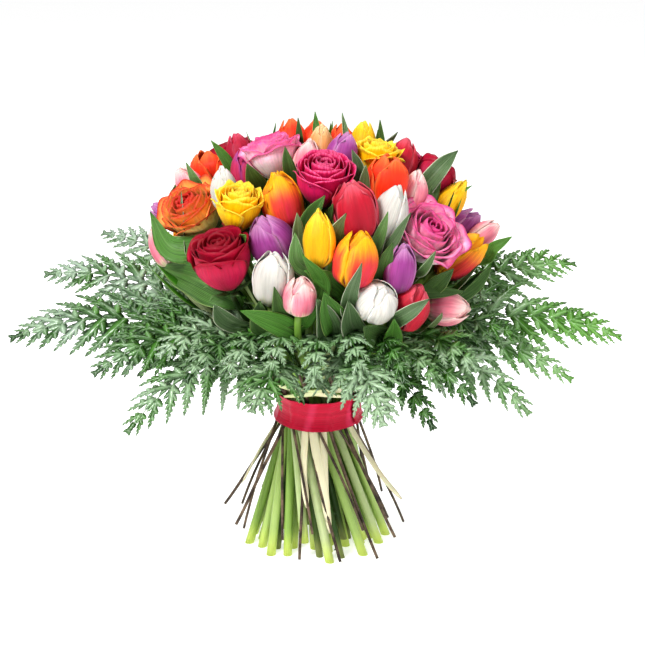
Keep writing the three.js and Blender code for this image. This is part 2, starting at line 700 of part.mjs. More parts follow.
// The triangles of a frond's blade, as places in its outline: a zigzag along the rib, and each pinna.
function frondTriangles(outline) {
  const pinnae = [];
  for (let k = 0; k < FROND_PAIRS; k++) {
    const steps = Array.from({ length: PINNA_POINTS + 1 }, (_, j) => k * PINNA_POINTS + j);
    pinnae.push(steps.map((step) => 2 + step), steps.map((step) => outline.length - 1 - step));
  }
  const last = FROND_PAIRS * PINNA_POINTS;
  const rib = [1, 0, ...pinnae.map((pinna) => pinna[0]), 2 + last, outline.length - 1 - last, 3 + last];
  const zigzag = rib.slice(2).map((corner, i) => [rib[i], rib[i + 1], corner]);
  const fans = pinnae.flatMap((pinna) => {
    const contour = pinna.map((place) => outline[place]);
    return THREE.ShapeUtils.triangulateShape(contour, []).map((corners) => corners.map((i) => pinna[i]));
  });
  return [...zigzag, ...fans].map((corners) => {
    const clockwise = THREE.ShapeUtils.area(corners.map((i) => outline[i])) < 0;
    return clockwise ? corners.toReversed() : corners;
  });
}

// A slab one unit thick over a flat outline that runs clockwise.
function slab(outline, triangles) {
  const under = outline.length;
  const position = [0.5, -0.5].flatMap((z) => outline.flatMap(({ x, y }) => [x, y, z]));
  const walls = outline.flatMap((_, i) => {
    const next = (i + 1) % under;
    return [i, next, next + under, i, next + under, i + under];
  });
  const faces = triangles.flatMap(([a, b, c]) => [a, b, c, c + under, b + under, a + under]);
  return new THREE.BufferGeometry()
    .setAttribute("position", new THREE.BufferAttribute(new Float32Array(position), 3))
    .setIndex([...faces, ...walls]);
}

// Where the stalks of one node's fronds run through the tie, pressed together.
function stalkSlot(fronds) {
  const bearings = fronds.map(({ tip }) => new Vector3(tip[0], tip[1], 0).normalize());
  return bearings.reduce((sum, one) => sum.add(one)).setLength(STALK_RING).setZ(TIE_HEIGHT);
}

// The stalk below the tie, cut short of the table.
function stalkFoot(slot, grow = 0) {
  const cut = 8 + 30 * Math.abs(Math.sin(slot.x + slot.y));
  const top = slot.clone().setZ(TIE_HEIGHT + 2);
  return rod([belowTie(slot, cut, STALK_SPREAD), top], STALK_RADIUS + grow, 4, true);
}

function frond({ tip, arch, half }, slot, grow = 0) {
  const end = new Vector3(...tip);
  const outward = end.clone().setZ(0).normalize();
  const curve = new THREE.CubicBezierCurve3(
    slot,
    slot.clone().addScaledVector(outward, 2 - 9 * outward.y).setZ(TIE_HEIGHT + 46),
    end.clone().lerp(slot, 0.52).setZ(end.z + arch),
    end,
  );
  const begin = 0.34;
  const length = curve.getLength() * (1 - begin);
  // The blade's point (x, y) as if it hung free, with the direction out of its upper face.
  const free = (x, y) => {
    const t = begin + (1 - begin) * Math.min(Math.max(x / length, 0), 1);
    const tangent = curve.getTangent(t);
    const side = new Vector3().crossVectors(UP, tangent).normalize().applyAxisAngle(tangent, FROND_ROLL * outward.x);
    const over = new Vector3().crossVectors(tangent, side);
    const sag = (FROND_SAG * y * y) / half;
    const slope = (2 * FROND_SAG * y) / half;
    const point = curve.getPoint(t).addScaledVector(side, y).addScaledVector(over, -sag);
    point.addScaledVector(tangent, x - (t - begin) / (1 - begin) * length);
    return { point, normal: over.addScaledVector(side, slope).normalize() };
  };
  const middle = (x, y) => bentClear(free(x, y).point, 2);
  const place = ({ x, y, z }) => middle(x, y).addScaledVector(free(x, y).normal, z * (FROND_THICKNESS + 2 * grow));
  const outline = frondOutline(length, half, grow);
  const leafy = solidOf(moved(slab(outline, frondTriangles(outline)), place));
  const stalk = [slot, curve.getPoint(begin * 0.25), curve.getPoint(begin * 0.6), middle(length * 0.07, 0)];
  return rod(stalk, STALK_RADIUS + grow, 4).add(leafy);
}

// ---------------------------------------------------------------- ribbon

// The ribbon: a band drawn in at its middle, whose end laps over itself at the right.
function ribbon() {
  const half = RIBBON_WIDTH / 2;
  const inside = (z) => RIBBON_WAIST + RIBBON_FLARE * (z / half) ** 2;
  const heights = [-half, 0, half];
  const loop = [
    ...heights.map((z) => [inside(z), z]),
    ...heights.toReversed().map((z) => [inside(z) + RIBBON_THICKNESS, z]),
  ];
  loop.push(loop[0]);
  const turned = new THREE.LatheGeometry(loop.map(([r, z]) => new THREE.Vector2(r, z)), 24);
  const band = solidOf(turned.rotateX(Math.PI / 2));
  const lap = new THREE.BoxGeometry(1, 1, 1, 4, 2, 1);
  const bend = ({ x, y, z }) => {
    const turn = x * LAP_ARC - 6 * DEG;
    const high = y * (RIBBON_WIDTH - 3);
    const lift = RIBBON_THICKNESS * 0.5 + (z + 0.5) * 1.2 + 2.2 * Math.max(x, 0) ** 2 * (z + 0.5);
    const out = inside(high) + lift;
    return new Vector3(out * Math.cos(turn), out * Math.sin(turn), high);
  };
  return band.add(solidOf(moved(lap, bend)));
}

// ---------------------------------------------------------------- the bouquet

const bouquet = new THREE.Group();
const cutters = [];

const flowerNodes = new Map();
for (const flower of flowers) {
  flowerNodes.set(flower.name, [...(flowerNodes.get(flower.name) ?? []), flower]);
}
for (const [name, members] of flowerNodes) {
  const whole = wasm.Manifold.union(members.map((flower) => flowerSolid(flower)));
  bouquet.add(meshOf(name, cutClear(whole, cutters), COLOURS[members[0].colour]));
  cutters.push(...members.map(flowerCutter));
}

bouquet.add(meshOf("stems_and_leaves", cutClear(bundle(), cutters), COLOURS.leaf));
cutters.push(bundle(GAP));

for (const [name, fronds] of Object.entries(FROND_NODES)) {
  const slot = stalkSlot(fronds);
  const pieces = (grow) => [stalkFoot(slot, grow), ...fronds.map((one) => frond(one, slot, grow))];
  bouquet.add(meshOf(name, cutClear(wasm.Manifold.union(pieces()), cutters), COLOURS.fern));
  cutters.push(...pieces(GAP));
}

const band = meshOf("ribbon", ribbon(), COLOURS.ribbon, 0.35);
band.position.set(0, 0, TIE_HEIGHT);
band.rotation.x = RIBBON_TILT;
bouquet.add(band);

export default bouquet;
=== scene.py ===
"""A hand-tied bouquet of tulips and roses in a collar of leatherleaf fern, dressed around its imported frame.

Places and sizes are in millimetres, as in the part's own source, with +Z up and the origin on the table
under the middle of the bouquet. They turn into metres where a mesh is made. A place that is read from the
front is given in the picture plane: across to the right of the middle, and up from the point that the eye is
aimed at.
"""

import json
import math
from dataclasses import dataclass

import bpy
import numpy as np
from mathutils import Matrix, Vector


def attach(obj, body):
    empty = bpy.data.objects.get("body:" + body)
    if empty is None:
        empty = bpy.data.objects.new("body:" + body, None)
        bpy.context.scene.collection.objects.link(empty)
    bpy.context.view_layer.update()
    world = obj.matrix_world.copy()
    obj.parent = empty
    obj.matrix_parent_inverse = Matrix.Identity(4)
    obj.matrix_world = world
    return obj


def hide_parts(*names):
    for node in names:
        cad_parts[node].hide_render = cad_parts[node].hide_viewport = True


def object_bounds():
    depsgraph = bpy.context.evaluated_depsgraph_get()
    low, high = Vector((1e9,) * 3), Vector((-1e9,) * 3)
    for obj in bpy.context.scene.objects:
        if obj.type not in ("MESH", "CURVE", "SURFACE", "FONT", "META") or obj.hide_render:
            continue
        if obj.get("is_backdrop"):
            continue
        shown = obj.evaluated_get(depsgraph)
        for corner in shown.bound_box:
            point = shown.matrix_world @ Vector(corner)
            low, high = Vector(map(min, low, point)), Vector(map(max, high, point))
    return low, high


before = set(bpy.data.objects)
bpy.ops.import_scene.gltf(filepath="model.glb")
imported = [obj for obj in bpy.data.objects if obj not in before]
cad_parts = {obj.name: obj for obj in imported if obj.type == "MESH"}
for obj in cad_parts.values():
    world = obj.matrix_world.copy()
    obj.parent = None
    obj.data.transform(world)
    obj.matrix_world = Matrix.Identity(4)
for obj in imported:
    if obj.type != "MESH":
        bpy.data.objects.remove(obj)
cad_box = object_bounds()

MM = 0.001
DEG = math.pi / 180
UP = np.array([0.0, 0.0, 1.0])
INTO_PICTURE = np.array([0.0, 1.0, 0.0])

# ---------------------------------------------------------------- driving dimensions

# The eye that the places are read with.
EYE_RISE = 15 * DEG
EYE_DISTANCE = 1800
PICTURE_WIDTH = 645
AIM = np.array([4.5, 0, 228])

# The dome through the middles of the flowers.
DOME_HEIGHT = 262
DOME_RADIUS = 140
DOME_RISE = 152

# The tie, and the spiral of stems that runs through it.
TIE_HEIGHT = 147
STEM_PITCH = 4.1
FOOT_SPREAD = 2.35
FOOT_TURN = 54 * DEG
BLOOM_TURN = 15 * DEG
GOLDEN_TURN = math.pi * (3 - math.sqrt(5))
STEM_RADIUS = {"tulip": 4.1, "rose": 3.2}
SHORTEST_CUT = 34
FLOWER_GAP = 0.35
STEM_MIDDLE = 0.42

# The ribbon.
RIBBON_WIDTH = 31
RIBBON_WAIST = 39.5
RIBBON_FLARE = 5
RIBBON_THICKNESS = 0.64
RIBBON_TILT = 6 * DEG
LAP_ARC = 42 * DEG
RIBBON_TURNS = 1 + LAP_ARC / (2 * math.pi) + 0.03
RIBBON_FOLDS = (-160, -128, -104, -97, -72, -40, 15, 70, 120)

# Leaves and ferns.
LEAF_THICKNESS = 0.9
LEAF_FOLD = 0.36
STALK_RADIUS = 1.46
STALK_RING = 36.6
STALK_SPREAD = 2.6
FROND_BEGIN = 0.34
FROND_SAG = 0.22
FROND_ROLL = 45 * DEG
PAIR_PITCH = 16.5
LEAFLET_RISE = 1.6

# ---------------------------------------------------------------- what is in the bouquet

# Each flower: its name, which begins with its kind and its colour, then across, up, length, width, lean,
# nod and open. Lean is its tilt in the picture plane, clockwise from upright; nod is its tilt towards the
# eye; both in degrees. Open is 0 for a shut bud and 1 for a cup.
FRONT_FLOWERS = [
    ("tulip_pink_bud_front", -18, 27, 42, 30, 6, 35, 0.05),
    ("tulip_white_front_right", 59, 22, 44, 38, 25, 48, 0.1),
    ("tulip_red_front_right", 92, 16, 50, 36, 30, 25, 0.1),
    ("tulip_pink_low_right", 130, 14, 46, 32, 92, 15, 0.15),
    ("tulip_white_front_left", -45, 44, 54, 37, 4, 18, 0.25),
    ("rose_crimson_front_left", -94, 58, 58, 62, -14, 34, 0),
    ("tulip_purple_front_right", 82, 54, 50, 29, 8, 16, 0.1),
    ("tulip_flame_front", 38, 63, 57, 40, 12, 16, 0.1),
    ("tulip_flame_right", 143, 67, 62, 36, 52, 14, 0.15),
    ("tulip_pink_far_left", -157, 76, 46, 22, -25, -5, 0.05),
    ("tulip_purple_left", -46, 81, 56, 42, -28, 22, 0.2),
    ("tulip_yellow_front", 1, 84, 57, 29, 0, 8, 0.0),
    ("rose_blush_right", 106, 85, 50, 66, 38, 46, 0),
    ("tulip_pink_behind_right", 166, 89, 38, 22, 55, -10, 0.1),
    ("tulip_purple_far_right", 144, 95, 47, 30, 48, 5, 0.1),
    ("tulip_purple_far_left", -150, 107, 40, 22, -60, 0, 0.1),
    ("rose_sunset_left", -123, 107, 52, 60, -36, 40, 0),
    ("tulip_white_tall_right", 72, 107, 62, 32, 18, 5, 0.1),
    ("rose_yellow_left", -79, 112, 46, 46, 6, 30, 0),
    ("tulip_red_centre", 37, 112, 60, 41, -12, 10, 0.35),
    ("tulip_flame_left", -36, 121, 60, 38, -14, 8, 0.2),
    ("tulip_yellow_right", 133, 121, 54, 26, 38, 0, 0.05),
    ("tulip_pink_right", 96, 130, 46, 26, 14, 8, 0.05),
    ("tulip_white_left", -94, 134, 46, 25, -6, 8, 0.1),
    ("tulip_pink_behind_left", -128, 138, 42, 26, -35, -5, 0.1),
    ("rose_magenta_centre", 6, 139, 54, 58, 2, 38, 0),
    ("rose_crimson_behind_right", 111, 141, 46, 46, 38, -10, 0),
    ("tulip_coral_right", 69, 141, 54, 38, 8, 12, 0.5),
    ("tulip_magenta_left", -72, 150, 48, 28, -6, 8, 0.15),
    ("tulip_coral_left", -104, 151, 50, 42, -14, 12, 0.6),
    ("rose_yellow_top_right", 57, 160, 44, 46, 10, 20, 0),
    ("tulip_red_top_right", 84, 161, 50, 30, 16, 0, 0.15),
    ("tulip_pink_top", -11, 162, 44, 26, 8, 8, 0.05),
    ("rose_blush_top_left", -46, 164, 46, 54, -14, 12, 0),
    ("tulip_purple_top", 24, 170, 42, 28, 18, 8, 0.15),
    ("tulip_crimson_top_left", -79, 170, 40, 24, -14, 0, 0.1),
    ("tulip_peach_top", 3, 176, 46, 24, 2, 4, 0.05),
    ("tulip_yellow_top_right", 45, 179, 46, 24, 5, 0, 0.15),
]

# How much nearer the eye than its place on the dome a front flower is taken to be when they are set in
# front of one another.
BROUGHT_FORWARD = {"tulip_flame_right": 12}

# How much the flowers of a group differ in height and in turn.
UNEVEN_RISE = 4
UNEVEN_TURN = 7
GROUP_OVERLAP = 0.91
GROUP_OPEN = 0.15

# Flowers that stand shoulder to shoulder: name, turn, lean, count, length, width. Turn is the bearing of
# the middle one in degrees, anticlockwise from +X; lean is from upright.
FLOWER_GROUPS = [
    ("tulips_coral_top", 92, 22, 3, 44, 28),
    ("tulips_pink_rear_right", 29, 76, 2, 54, 38),
    ("tulips_yellow_rear", 69, 76, 3, 56, 38),
    ("tulips_white_rear", 111, 76, 3, 56, 38),
    ("tulips_flame_rear_left", 151, 76, 2, 54, 38),
    ("roses_magenta_rear_right", 48, 44, 2, 52, 60),
    ("tulips_purple_rear", 90, 40, 2, 52, 38),
    ("roses_crimson_rear_left", 132, 44, 2, 52, 60),
]

# Each leaf that shows from the front: tip across, tip up, and where it leaves the flowers below, across and
# up, then its width there and how far its tip stands out of the dome.
FRONT_LEAVES = [
    (-168, 111, -115, 64, 27, 12),
    (-157, 61, -98, 34, 36, 8),
    (-71, 159, -66, 128, 21, 12),
    (-33, 176, -24, 140, 14, 14),
    (7, 127, -12, 88, 18, 12),
    (30, 110, 20, 66, 27, 4),
    (-23, 90, -6, 60, 18, 6),
    (-16, 68, 2, 0, 18, 14),
    (44, 60, 31, 0, 20, 22),
    (6, 30, 22, -12, 30, 8),
    (75, 80, 62, 42, 18, 12),
    (93, 110, 60, 60, 13, 16),
    (118, 72, 92, 56, 20, 20),
    (136, 54, 106, 32, 20, 12),
    (174, 57, 134, 20, 25, 3),
    (112, 24, 74, 6, 20, 22),
    (124, 10, 116, -12, 20, 14),
    (45, -4, 60, -10, 22, 10),
    (-78, 12, -16, -4, 22, 20),
    (-132, 160, -118, 130, 12, 14),
    (13, 200, 12, 172, 11, 14),
    (60, 193, 56, 158, 13, 14),
    (80, 191, 76, 156, 14, 14),
    (140, 172, 94, 132, 20, 22),
    (124, 158, 104, 112, 14, 16),
    (149, 133, 112, 128, 16, 14),
    (34, 173, 36, 130, 14, 8),
    (194, 86, 168, 70, 13, 3),
]

# Leaves behind: turn and lean of the tip, in degrees, and width.
REAR_LEAVES = [
    (20, 60, 26),
    (48, 90, 30),
    (69, 56, 24),
    (90, 92, 30),
    (111, 56, 24),
    (132, 90, 30),
    (160, 60, 26),
]

# Rows of leaves that fill the back and the sides: how many, the turns of the first and the last, their lean
# and their width.
REAR_FILLS = [
    (3, -10, 2, 54, 19),
    (3, 178, 190, 54, 19),
    (3, -16, 4, 78, 20),
    (3, 176, 196, 78, 20),
    (15, 8, 172, 58, 26),
    (8, 22, 158, 47, 18),
    (14, 14, 166, 80, 22),
    (9, 12, 168, 99, 27),
    (6, 35, 145, 28, 13),
]

# Small leaves between the flowers, given as the front leaves are.
SMALL_LEAVES = [
    (-21, 110, -14, 78, 13, 4),
    (15, 119, 16, 92, 12, 4),
    (-14, 52, 34, 42, 20, 0),
    (70, 111, 58, 66, 15, 10),
    (147, 31, 98, 30, 13, 10),
    (-44, 36, -14, -2, 20, 12),
    (-2, 24, 14, -14, 26, 6),
    (30, 22, 44, -12, 24, 4),
    (-58, 22, -62, -14, 24, 8),
    (76, 4, 84, -26, 22, 8),
    (-104, 18, -88, -8, 26, 8),
    (-72, 88, -74, 62, 13, 8),
    (-107, 182, -84, 158, 12, 14),
    (-143, 138, -124, 108, 14, 14),
    (-3, 211, 2, 168, 11, 16),
    (24, 210, 28, 166, 11, 16),
    (-20, 205, -14, 168, 10, 14),
    (62, 203, 58, 160, 12, 16),
    (126, 135, 114, 98, 14, 10),
    (48, 158, 37, 130, 15, 8),
]

# Each frond node: its fronds, as tip, the rise of the arch above the tip, and the half width of the blade.
FROND_NODES = {
    "fern_left": [((-303, -22, 218), 56, 84), ((-212, -98, 204), 66, 78)],
    "fern_left_front": [((-178, -134, 158), 92, 70)],
    "fern_front_left": [((-58, -214, 204), 44, 84)],
    "fern_front": [((58, -222, 194), 68, 84)],
    "fern_front_right": [((106, -158, 170), 74, 50), ((146, -128, 184), 78, 54)],
    "fern_right_front": [((202, -92, 163), 92, 66), ((248, -44, 182), 78, 66)],
    "fern_right": [((305, 18, 208), 62, 84)],
    "fern_right_rear": [((270, 112, 262), 20, 84), ((180, 190, 268), 16, 80)],
    "fern_rear": [((66, 224, 262), 14, 82), ((-66, 224, 254), 16, 82)],
    "fern_left_rear": [((-232, 164, 284), 6, 74), ((-280, 66, 262), 22, 82)],
    "fern_rear_left": [((-160, 196, 236), 30, 72)],
}

# The loose things below the tie, each from its turn round the tie, in degrees, to its foot: the turn that
# it is at there, how far out and how high. The brown stalks also have how far they bow out, and the node
# that holds them.
LOOSE_STALKS = [
    ("fern_left_front", -148, -130, 124, 50, 3),
    ("fern_front_left", -116, -104, 76, 4, -4),
    ("fern_front_left", -106, -74, 80, 3, 6),
    ("fern_front", -76, -50, 92, 4, 3),
    ("fern_front_right", -50, -40, 100, 24, 3),
    ("fern_rear", 70, 92, 92, 4, 4),
    ("fern_left_rear", 140, 160, 104, 22, 3),
    ("fern_right_rear", 34, 52, 96, 6, 4),
]

# The pale feet of leaves, and the curled strip: their turns, reach and height at the foot, as above, then
# their width and how much they sway sideways.
LEAF_FEET = [
    (-112, -100, 62, 54, 8, 1.5),
    (-98, -82, 68, 42, 10, -2.5),
    (-84, -80, 70, 30, 8, 2),
    (-44, -32, 98, 60, 7, 3),
    (62, 76, 74, 50, 9, 3),
    (158, 176, 78, 56, 9, -3),
]

# Pale leaves that lie across the stems above the ribbon, from end to end, and their widths.
CROSSING_LEAVES = [
    ((-44, -24, 171), (26, -47, 165), 8),
    ((-34, -40, 163), (44, -36, 174), 7),
    ((-14, -50, 172), (50, -20, 166), 6),
    ((46, -8, 172), (16, 46, 168), 8),
    ((-46, 6, 166), (-20, 44, 173), 7),
]

# Small sprigs that hang from the fronds of a node over the stems in front: node, tip, arch and half width.
SPRIGS = [
    ("fern_left", (-196, -62, 226), 46, 66),
    ("fern_left", (-168, -20, 246), 30, 60),
    ("fern_left_front", (-150, -96, 222), 52, 62),
    ("fern_left_front", (-122, -134, 208), 70, 54),
    ("fern_front_left", (-86, -152, 214), 78, 50),
    ("fern_front_left", (-44, -166, 220), 78, 50),
    ("fern_front_left", (-66, -138, 190), 60, 46),
    ("fern_front", (-4, -168, 214), 84, 50),
    ("fern_front", (30, -146, 196), 66, 50),
    ("fern_front", (40, -172, 222), 76, 50),
    ("fern_front", (66, -124, 176), 70, 46),
    ("fern_front_right", (80, -160, 216), 76, 50),
    ("fern_front_right", (112, -136, 204), 66, 50),
    ("fern_right_front", (150, -112, 212), 60, 60),
    ("fern_right", (196, -50, 226), 46, 64),
    ("fern_right", (176, 10, 250), 30, 60),
    ("fern_rear", (4, 152, 214), 80, 54),
    ("fern_rear", (52, 138, 198), 66, 50),
    ("fern_rear_left", (-54, 140, 200), 66, 50),
    ("fern_rear_left", (-104, 122, 210), 62, 54),
    ("fern_right_rear", (112, 112, 212), 62, 54),
    ("fern_right_rear", (160, 62, 228), 50, 60),
    ("fern_left_rear", (-150, 84, 222), 52, 58),
    ("fern_left_rear", (-176, 28, 236), 44, 60),
]

# ---------------------------------------------------------------- vectors and curves


def vec(*parts):
    return np.array(parts, float)


def flat_part(vectors):
    """The vectors without their rise."""
    return vectors * vec(1, 1, 0)


def unit(vectors):
    return vectors / np.maximum(np.linalg.norm(vectors, axis=-1, keepdims=True), 1e-9)


def turned(vectors, axis, angle):
    """The vectors turned about a unit axis by an angle in radians."""
    angle = np.asarray(angle, float)[..., None]
    along = np.sum(vectors * axis, axis=-1, keepdims=True)
    spun = np.cross(np.broadcast_to(axis, np.shape(vectors)), vectors)
    return vectors * np.cos(angle) + spun * np.sin(angle) + axis * along * (1 - np.cos(angle))


def through(x, knots, values):
    """A smooth curve through values at knots, read at x."""
    knots = np.asarray(knots, float)
    values = np.asarray(values, float)
    slopes = np.gradient(values, knots, axis=0)
    i = np.clip(np.searchsorted(knots, x, side="right") - 1, 0, len(knots) - 2)
    span = knots[i + 1] - knots[i]
    t = np.clip((x - knots[i]) / span, 0, 1)
    if values.ndim > 1:
        t = t[..., None]
        span = span[..., None]
    start = (2 * t**3 - 3 * t**2 + 1) * values[i] + (t**3 - 2 * t**2 + t) * span * slopes[i]
    end = (3 * t**2 - 2 * t**3) * values[i + 1] + (t**3 - t**2) * span * slopes[i + 1]
    return start + end


def profile(count, knots, values):
    """Values at knots from 0 to 1, read at a count of even steps."""
    return np.interp(np.linspace(0, 1, count), knots, values)


def ramp(x, low, high):
    """0 below low, 1 above high and an S-curve between."""
    t = np.clip((np.asarray(x, float) - low) / (high - low), 0, 1)
    return t * t * (3 - 2 * t)


def bezier(controls, t):
    """Points of a Bezier curve at each t."""
    points = [np.broadcast_to(c, np.shape(t) + (3,)) for c in controls]
    t = np.asarray(t, float)[..., None]
    while len(points) > 1:
        points = [a * (1 - t) + b * t for a, b in zip(points, points[1:])]
    return points[0]


def bezier_tangent(controls, t):
    steps = [b - a for a, b in zip(controls, controls[1:])]
    return unit(bezier(steps, t))


# ---------------------------------------------------------------- places on the dome

EYE = vec(AIM[0], -EYE_DISTANCE * math.cos(EYE_RISE), AIM[2] + EYE_DISTANCE * math.sin(EYE_RISE))
LOOKING = unit(AIM - EYE)
PICTURE_UP = vec(0, math.sin(EYE_RISE), math.cos(EYE_RISE))


def sightline(across, up):
    return unit(vec(across, AIM[1], AIM[2]) + PICTURE_UP * up - EYE)


def on_dome(across, up, outward=0):
    """The point at (across, up) in the picture on the dome, grown outward; a line that passes the dome
    gives its nearest point to it."""
    line = sightline(across, up)
    scale = 1 / vec(DOME_RADIUS + outward, DOME_RADIUS + outward, DOME_RISE + outward)
    start = (EYE - UP * DOME_HEIGHT) * scale
    along = line * scale
    a = along @ along
    b = start @ along
    under = b * b - a * (start @ start - 1)
    return EYE + line * (-b - math.sqrt(max(under, 0))) / a


def bearing(turn, lean):
    """The direction at a bearing and a lean from upright, in degrees."""
    flat = math.sin(lean * DEG)
    return vec(flat * math.cos(turn * DEG), flat * math.sin(turn * DEG), math.cos(lean * DEG))


def dome_point(turn, lean, outward=0):
    size = vec(DOME_RADIUS + outward, DOME_RADIUS + outward, DOME_RISE + outward)
    return bearing(turn, lean) * size + UP * DOME_HEIGHT


@dataclass
class Flower:
    """A flower in its place. Its axis runs from its foot to its top, opened is 0 for a shut bud and 1 for a
    cup, spin turns its petals, and line is the line of sight that it may move along."""

    name: str
    kind: str
    colour: str
    length: float
    width: float
    opened: float
    axis: np.ndarray
    centre: np.ndarray
    spin: float
    line: np.ndarray = None

    def cores(self):
        """The round cores that stand for the flower when it is kept clear of its neighbours."""
        if self.kind == "rose":
            return [(self.centre, self.width * 0.46)]
        low = self.centre - self.axis * self.length * 0.14
        high = self.centre + self.axis * self.length * 0.2
        return [(low, self.width * 0.46), (high, self.width * 0.38)]

    def directions(self):
        """Two directions across the axis, which make a right-handed frame with it."""
        side = turned(unit(np.cross(INTO_PICTURE, self.axis)), self.axis, self.spin)
        return side, np.cross(side, self.axis)

    def place(self, high, out, aside, turn):
        """A point of the flower: its height above the foot, its distance out from the axis in the direction
        that turn gives, and its distance aside from that direction."""
        side, front = self.directions()
        outward = -side * np.cos(turn)[..., None] + front * np.sin(turn)[..., None]
        sideways = side * np.sin(turn)[..., None] + front * np.cos(turn)[..., None]
        foot = self.centre - self.axis * self.length / 2
        return foot + self.axis * high[..., None] + outward * out[..., None] + sideways * aside[..., None]


def kind_and_colour(name):
    kind, tone = name.split("_")[:2]
    return kind.removesuffix("s"), tone


def front_flower(row, index):
    name, across, up, length, width, lean, nod, opened = row
    in_picture = vec(math.sin(lean * DEG), 0, 0) + PICTURE_UP * math.cos(lean * DEG)
    axis = in_picture * math.cos(nod * DEG) - LOOKING * math.sin(nod * DEG)
    centre = on_dome(across, up)
    line = sightline(across, up)
    turn = index * GOLDEN_TURN
    return Flower(name, *kind_and_colour(name), length, width, opened, axis, centre, turn, line)


def group_flowers(name, turn, lean, count, length, width):
    ring = DOME_RADIUS * math.sin(lean * DEG)
    step = width * GROUP_OVERLAP / max(ring, width) / DEG
    members = []
    for i in range(count):
        offset = (i - (count - 1) / 2) * step
        uneven = math.sin(2.4 * i + turn)
        centre = dome_point(turn + offset, lean) + UP * UNEVEN_RISE * uneven
        leaning = lean * (0.74 + 0.1 * math.cos(1.7 * i + turn))
        axis = bearing(turn + offset * 0.5 + UNEVEN_TURN * uneven, leaning)
        members.append(Flower(name, *kind_and_colour(name), length, width, GROUP_OPEN, axis, centre, 0))
    return members


def shift_to_clear(flower, nearer):
    """How far a flower moves from the eye along its own line of sight to clear another that stands
    nearer."""
    shift = 0
    for at, radius in flower.cores():
        for other, other_radius in nearer.cores():
            between = at - other
            along = between @ flower.line
            reach = radius + other_radius
            if np.linalg.norm(between) < reach:
                beside = between @ between - along * along
                shift = max(shift, math.sqrt(max(reach * reach - beside, 0)) - along)
    return shift


def settle(flowers):
    """Settles the front flowers, nearest first, so that each one clears those in front of it."""
    placed = []

    def distance(flower):
        return np.linalg.norm(flower.centre - EYE) - BROUGHT_FORWARD.get(flower.name, 0)

    for flower in sorted(flowers, key=distance):
        for _ in range(3):
            shift = max([shift_to_clear(flower, nearer) for nearer in placed], default=0)
            flower.centre = flower.centre + flower.line * shift
        placed.append(flower)
    return flowers


front_flowers = settle([front_flower(row, i) for i, row in enumerate(FRONT_FLOWERS)])
rear_flowers = [flower for row in FLOWER_GROUPS for flower in group_flowers(*row)]
flowers = front_flowers + rear_flowers


def bent_clear(points, margin, exempt=None):
    """Pushes points out of every flower but one, through the nearest side of its egg-shaped outline."""
    out = np.array(points, float)
    margin = np.asarray(margin, float)
    for flower in flowers:
        if flower is exempt:
            continue
        offset = out - flower.centre
        along = offset @ flower.axis
        beside = np.linalg.norm(offset - along[..., None] * flower.axis, axis=-1)
        depth = np.hypot(along / (flower.length / 2 + margin), beside / (flower.width / 2 + margin))
        pushed = flower.centre + offset / np.maximum(depth, 0.25)[..., None]
        out = np.where((depth < 1)[..., None], pushed, out)
    return out


# ---------------------------------------------------------------- meshes


class Shape:
    """The points and faces of one mesh, with the values that its finish reads at each point: pattern holds
    the place across and along the petal or leaf and its side, and tint is a number for each petal or
    leaf."""

    def __init__(self):
        self.points = []
        self.faces = []
        self.pattern = []
        self.tint = []
        self.slots = []
        self.count = 0

    def add(self, points, faces, pattern, tint, slot=0):
        self.points.append(points)
        self.faces += [[corner + self.count for corner in face] for face in faces]
        self.pattern.append(pattern)
        self.tint.append(np.full(len(points), tint))
        self.slots += [slot] * len(faces)
        self.count += len(points)

    def sheet(self, grid, thickness, tint, slot=0):
        self.add(*closed_sheet(grid, thickness), tint, slot)

    def tube(self, path, radii, sides, tint, slot=0, level=False):
        self.add(*closed_tube(path, radii, sides, level), tint, slot)

    def mesh(self, name):
        mesh = bpy.data.meshes.new(name)
        mesh.from_pydata((np.vstack(self.points) * MM).tolist(), [], self.faces)
        write_pattern(mesh, np.vstack(self.pattern))
        values = mesh.attributes.new("tint", "FLOAT", "POINT")
        values.data.foreach_set("value", np.concatenate(self.tint).astype(np.float32))
        mesh.polygons.foreach_set("material_index", np.array(self.slots, np.int32))
        mesh.shade_smooth()
        return mesh

    def piece(self, name, *finishes):
        return piece(name, self.mesh(name), *finishes)


def write_pattern(mesh, pattern):
    values = mesh.attributes.new("pattern", "FLOAT_VECTOR", "POINT")
    values.data.foreach_set("vector", np.asarray(pattern, np.float32).ravel())


def sheet_places(columns, rows):
    """Across from -1 to 1 and along from 0 to 1, over the grid of a sheet."""
    return np.meshgrid(np.linspace(-1, 1, columns), np.linspace(0, 1, rows))


def strip(line, side, wide):
    """The grid of a strip that lies to both sides of a line."""
    return line[:, None] + side[:, None] * wide[..., None]


def closed_sheet(grid, thickness):
    """A thin closed sheet over a grid of points, rows by columns: its two faces meet along its rim. Gives
    its points, its faces and the pattern values: across -1 to 1, along 0 to 1, and side 1, 0 or -1."""
    rows, columns, _ = grid.shape
    normals = unit(np.cross(np.gradient(grid, axis=0), np.gradient(grid, axis=1)))
    inner = np.zeros((rows, columns), bool)
    inner[1:-1, 1:-1] = True
    half = np.where(inner, thickness / 2, 0)[..., None]
    front = np.arange(rows * columns).reshape(rows, columns)
    back = front.copy()
    back[inner] = rows * columns + np.arange(inner.sum())
    points = np.vstack([(grid + normals * half).reshape(-1, 3), (grid - normals * half)[inner]])
    across, along = sheet_places(columns, rows)
    upper = np.stack([across, along, inner.astype(float)], -1).reshape(-1, 3)
    lower = np.stack([across, along, -np.ones_like(along)], -1)[inner]

    def quads(index):
        return np.stack([index[:-1, :-1], index[1:, :-1], index[1:, 1:], index[:-1, 1:]], -1).reshape(-1, 4)

    faces = np.vstack([quads(front), quads(back)[:, ::-1]])
    return points, faces.tolist(), np.vstack([upper, lower])


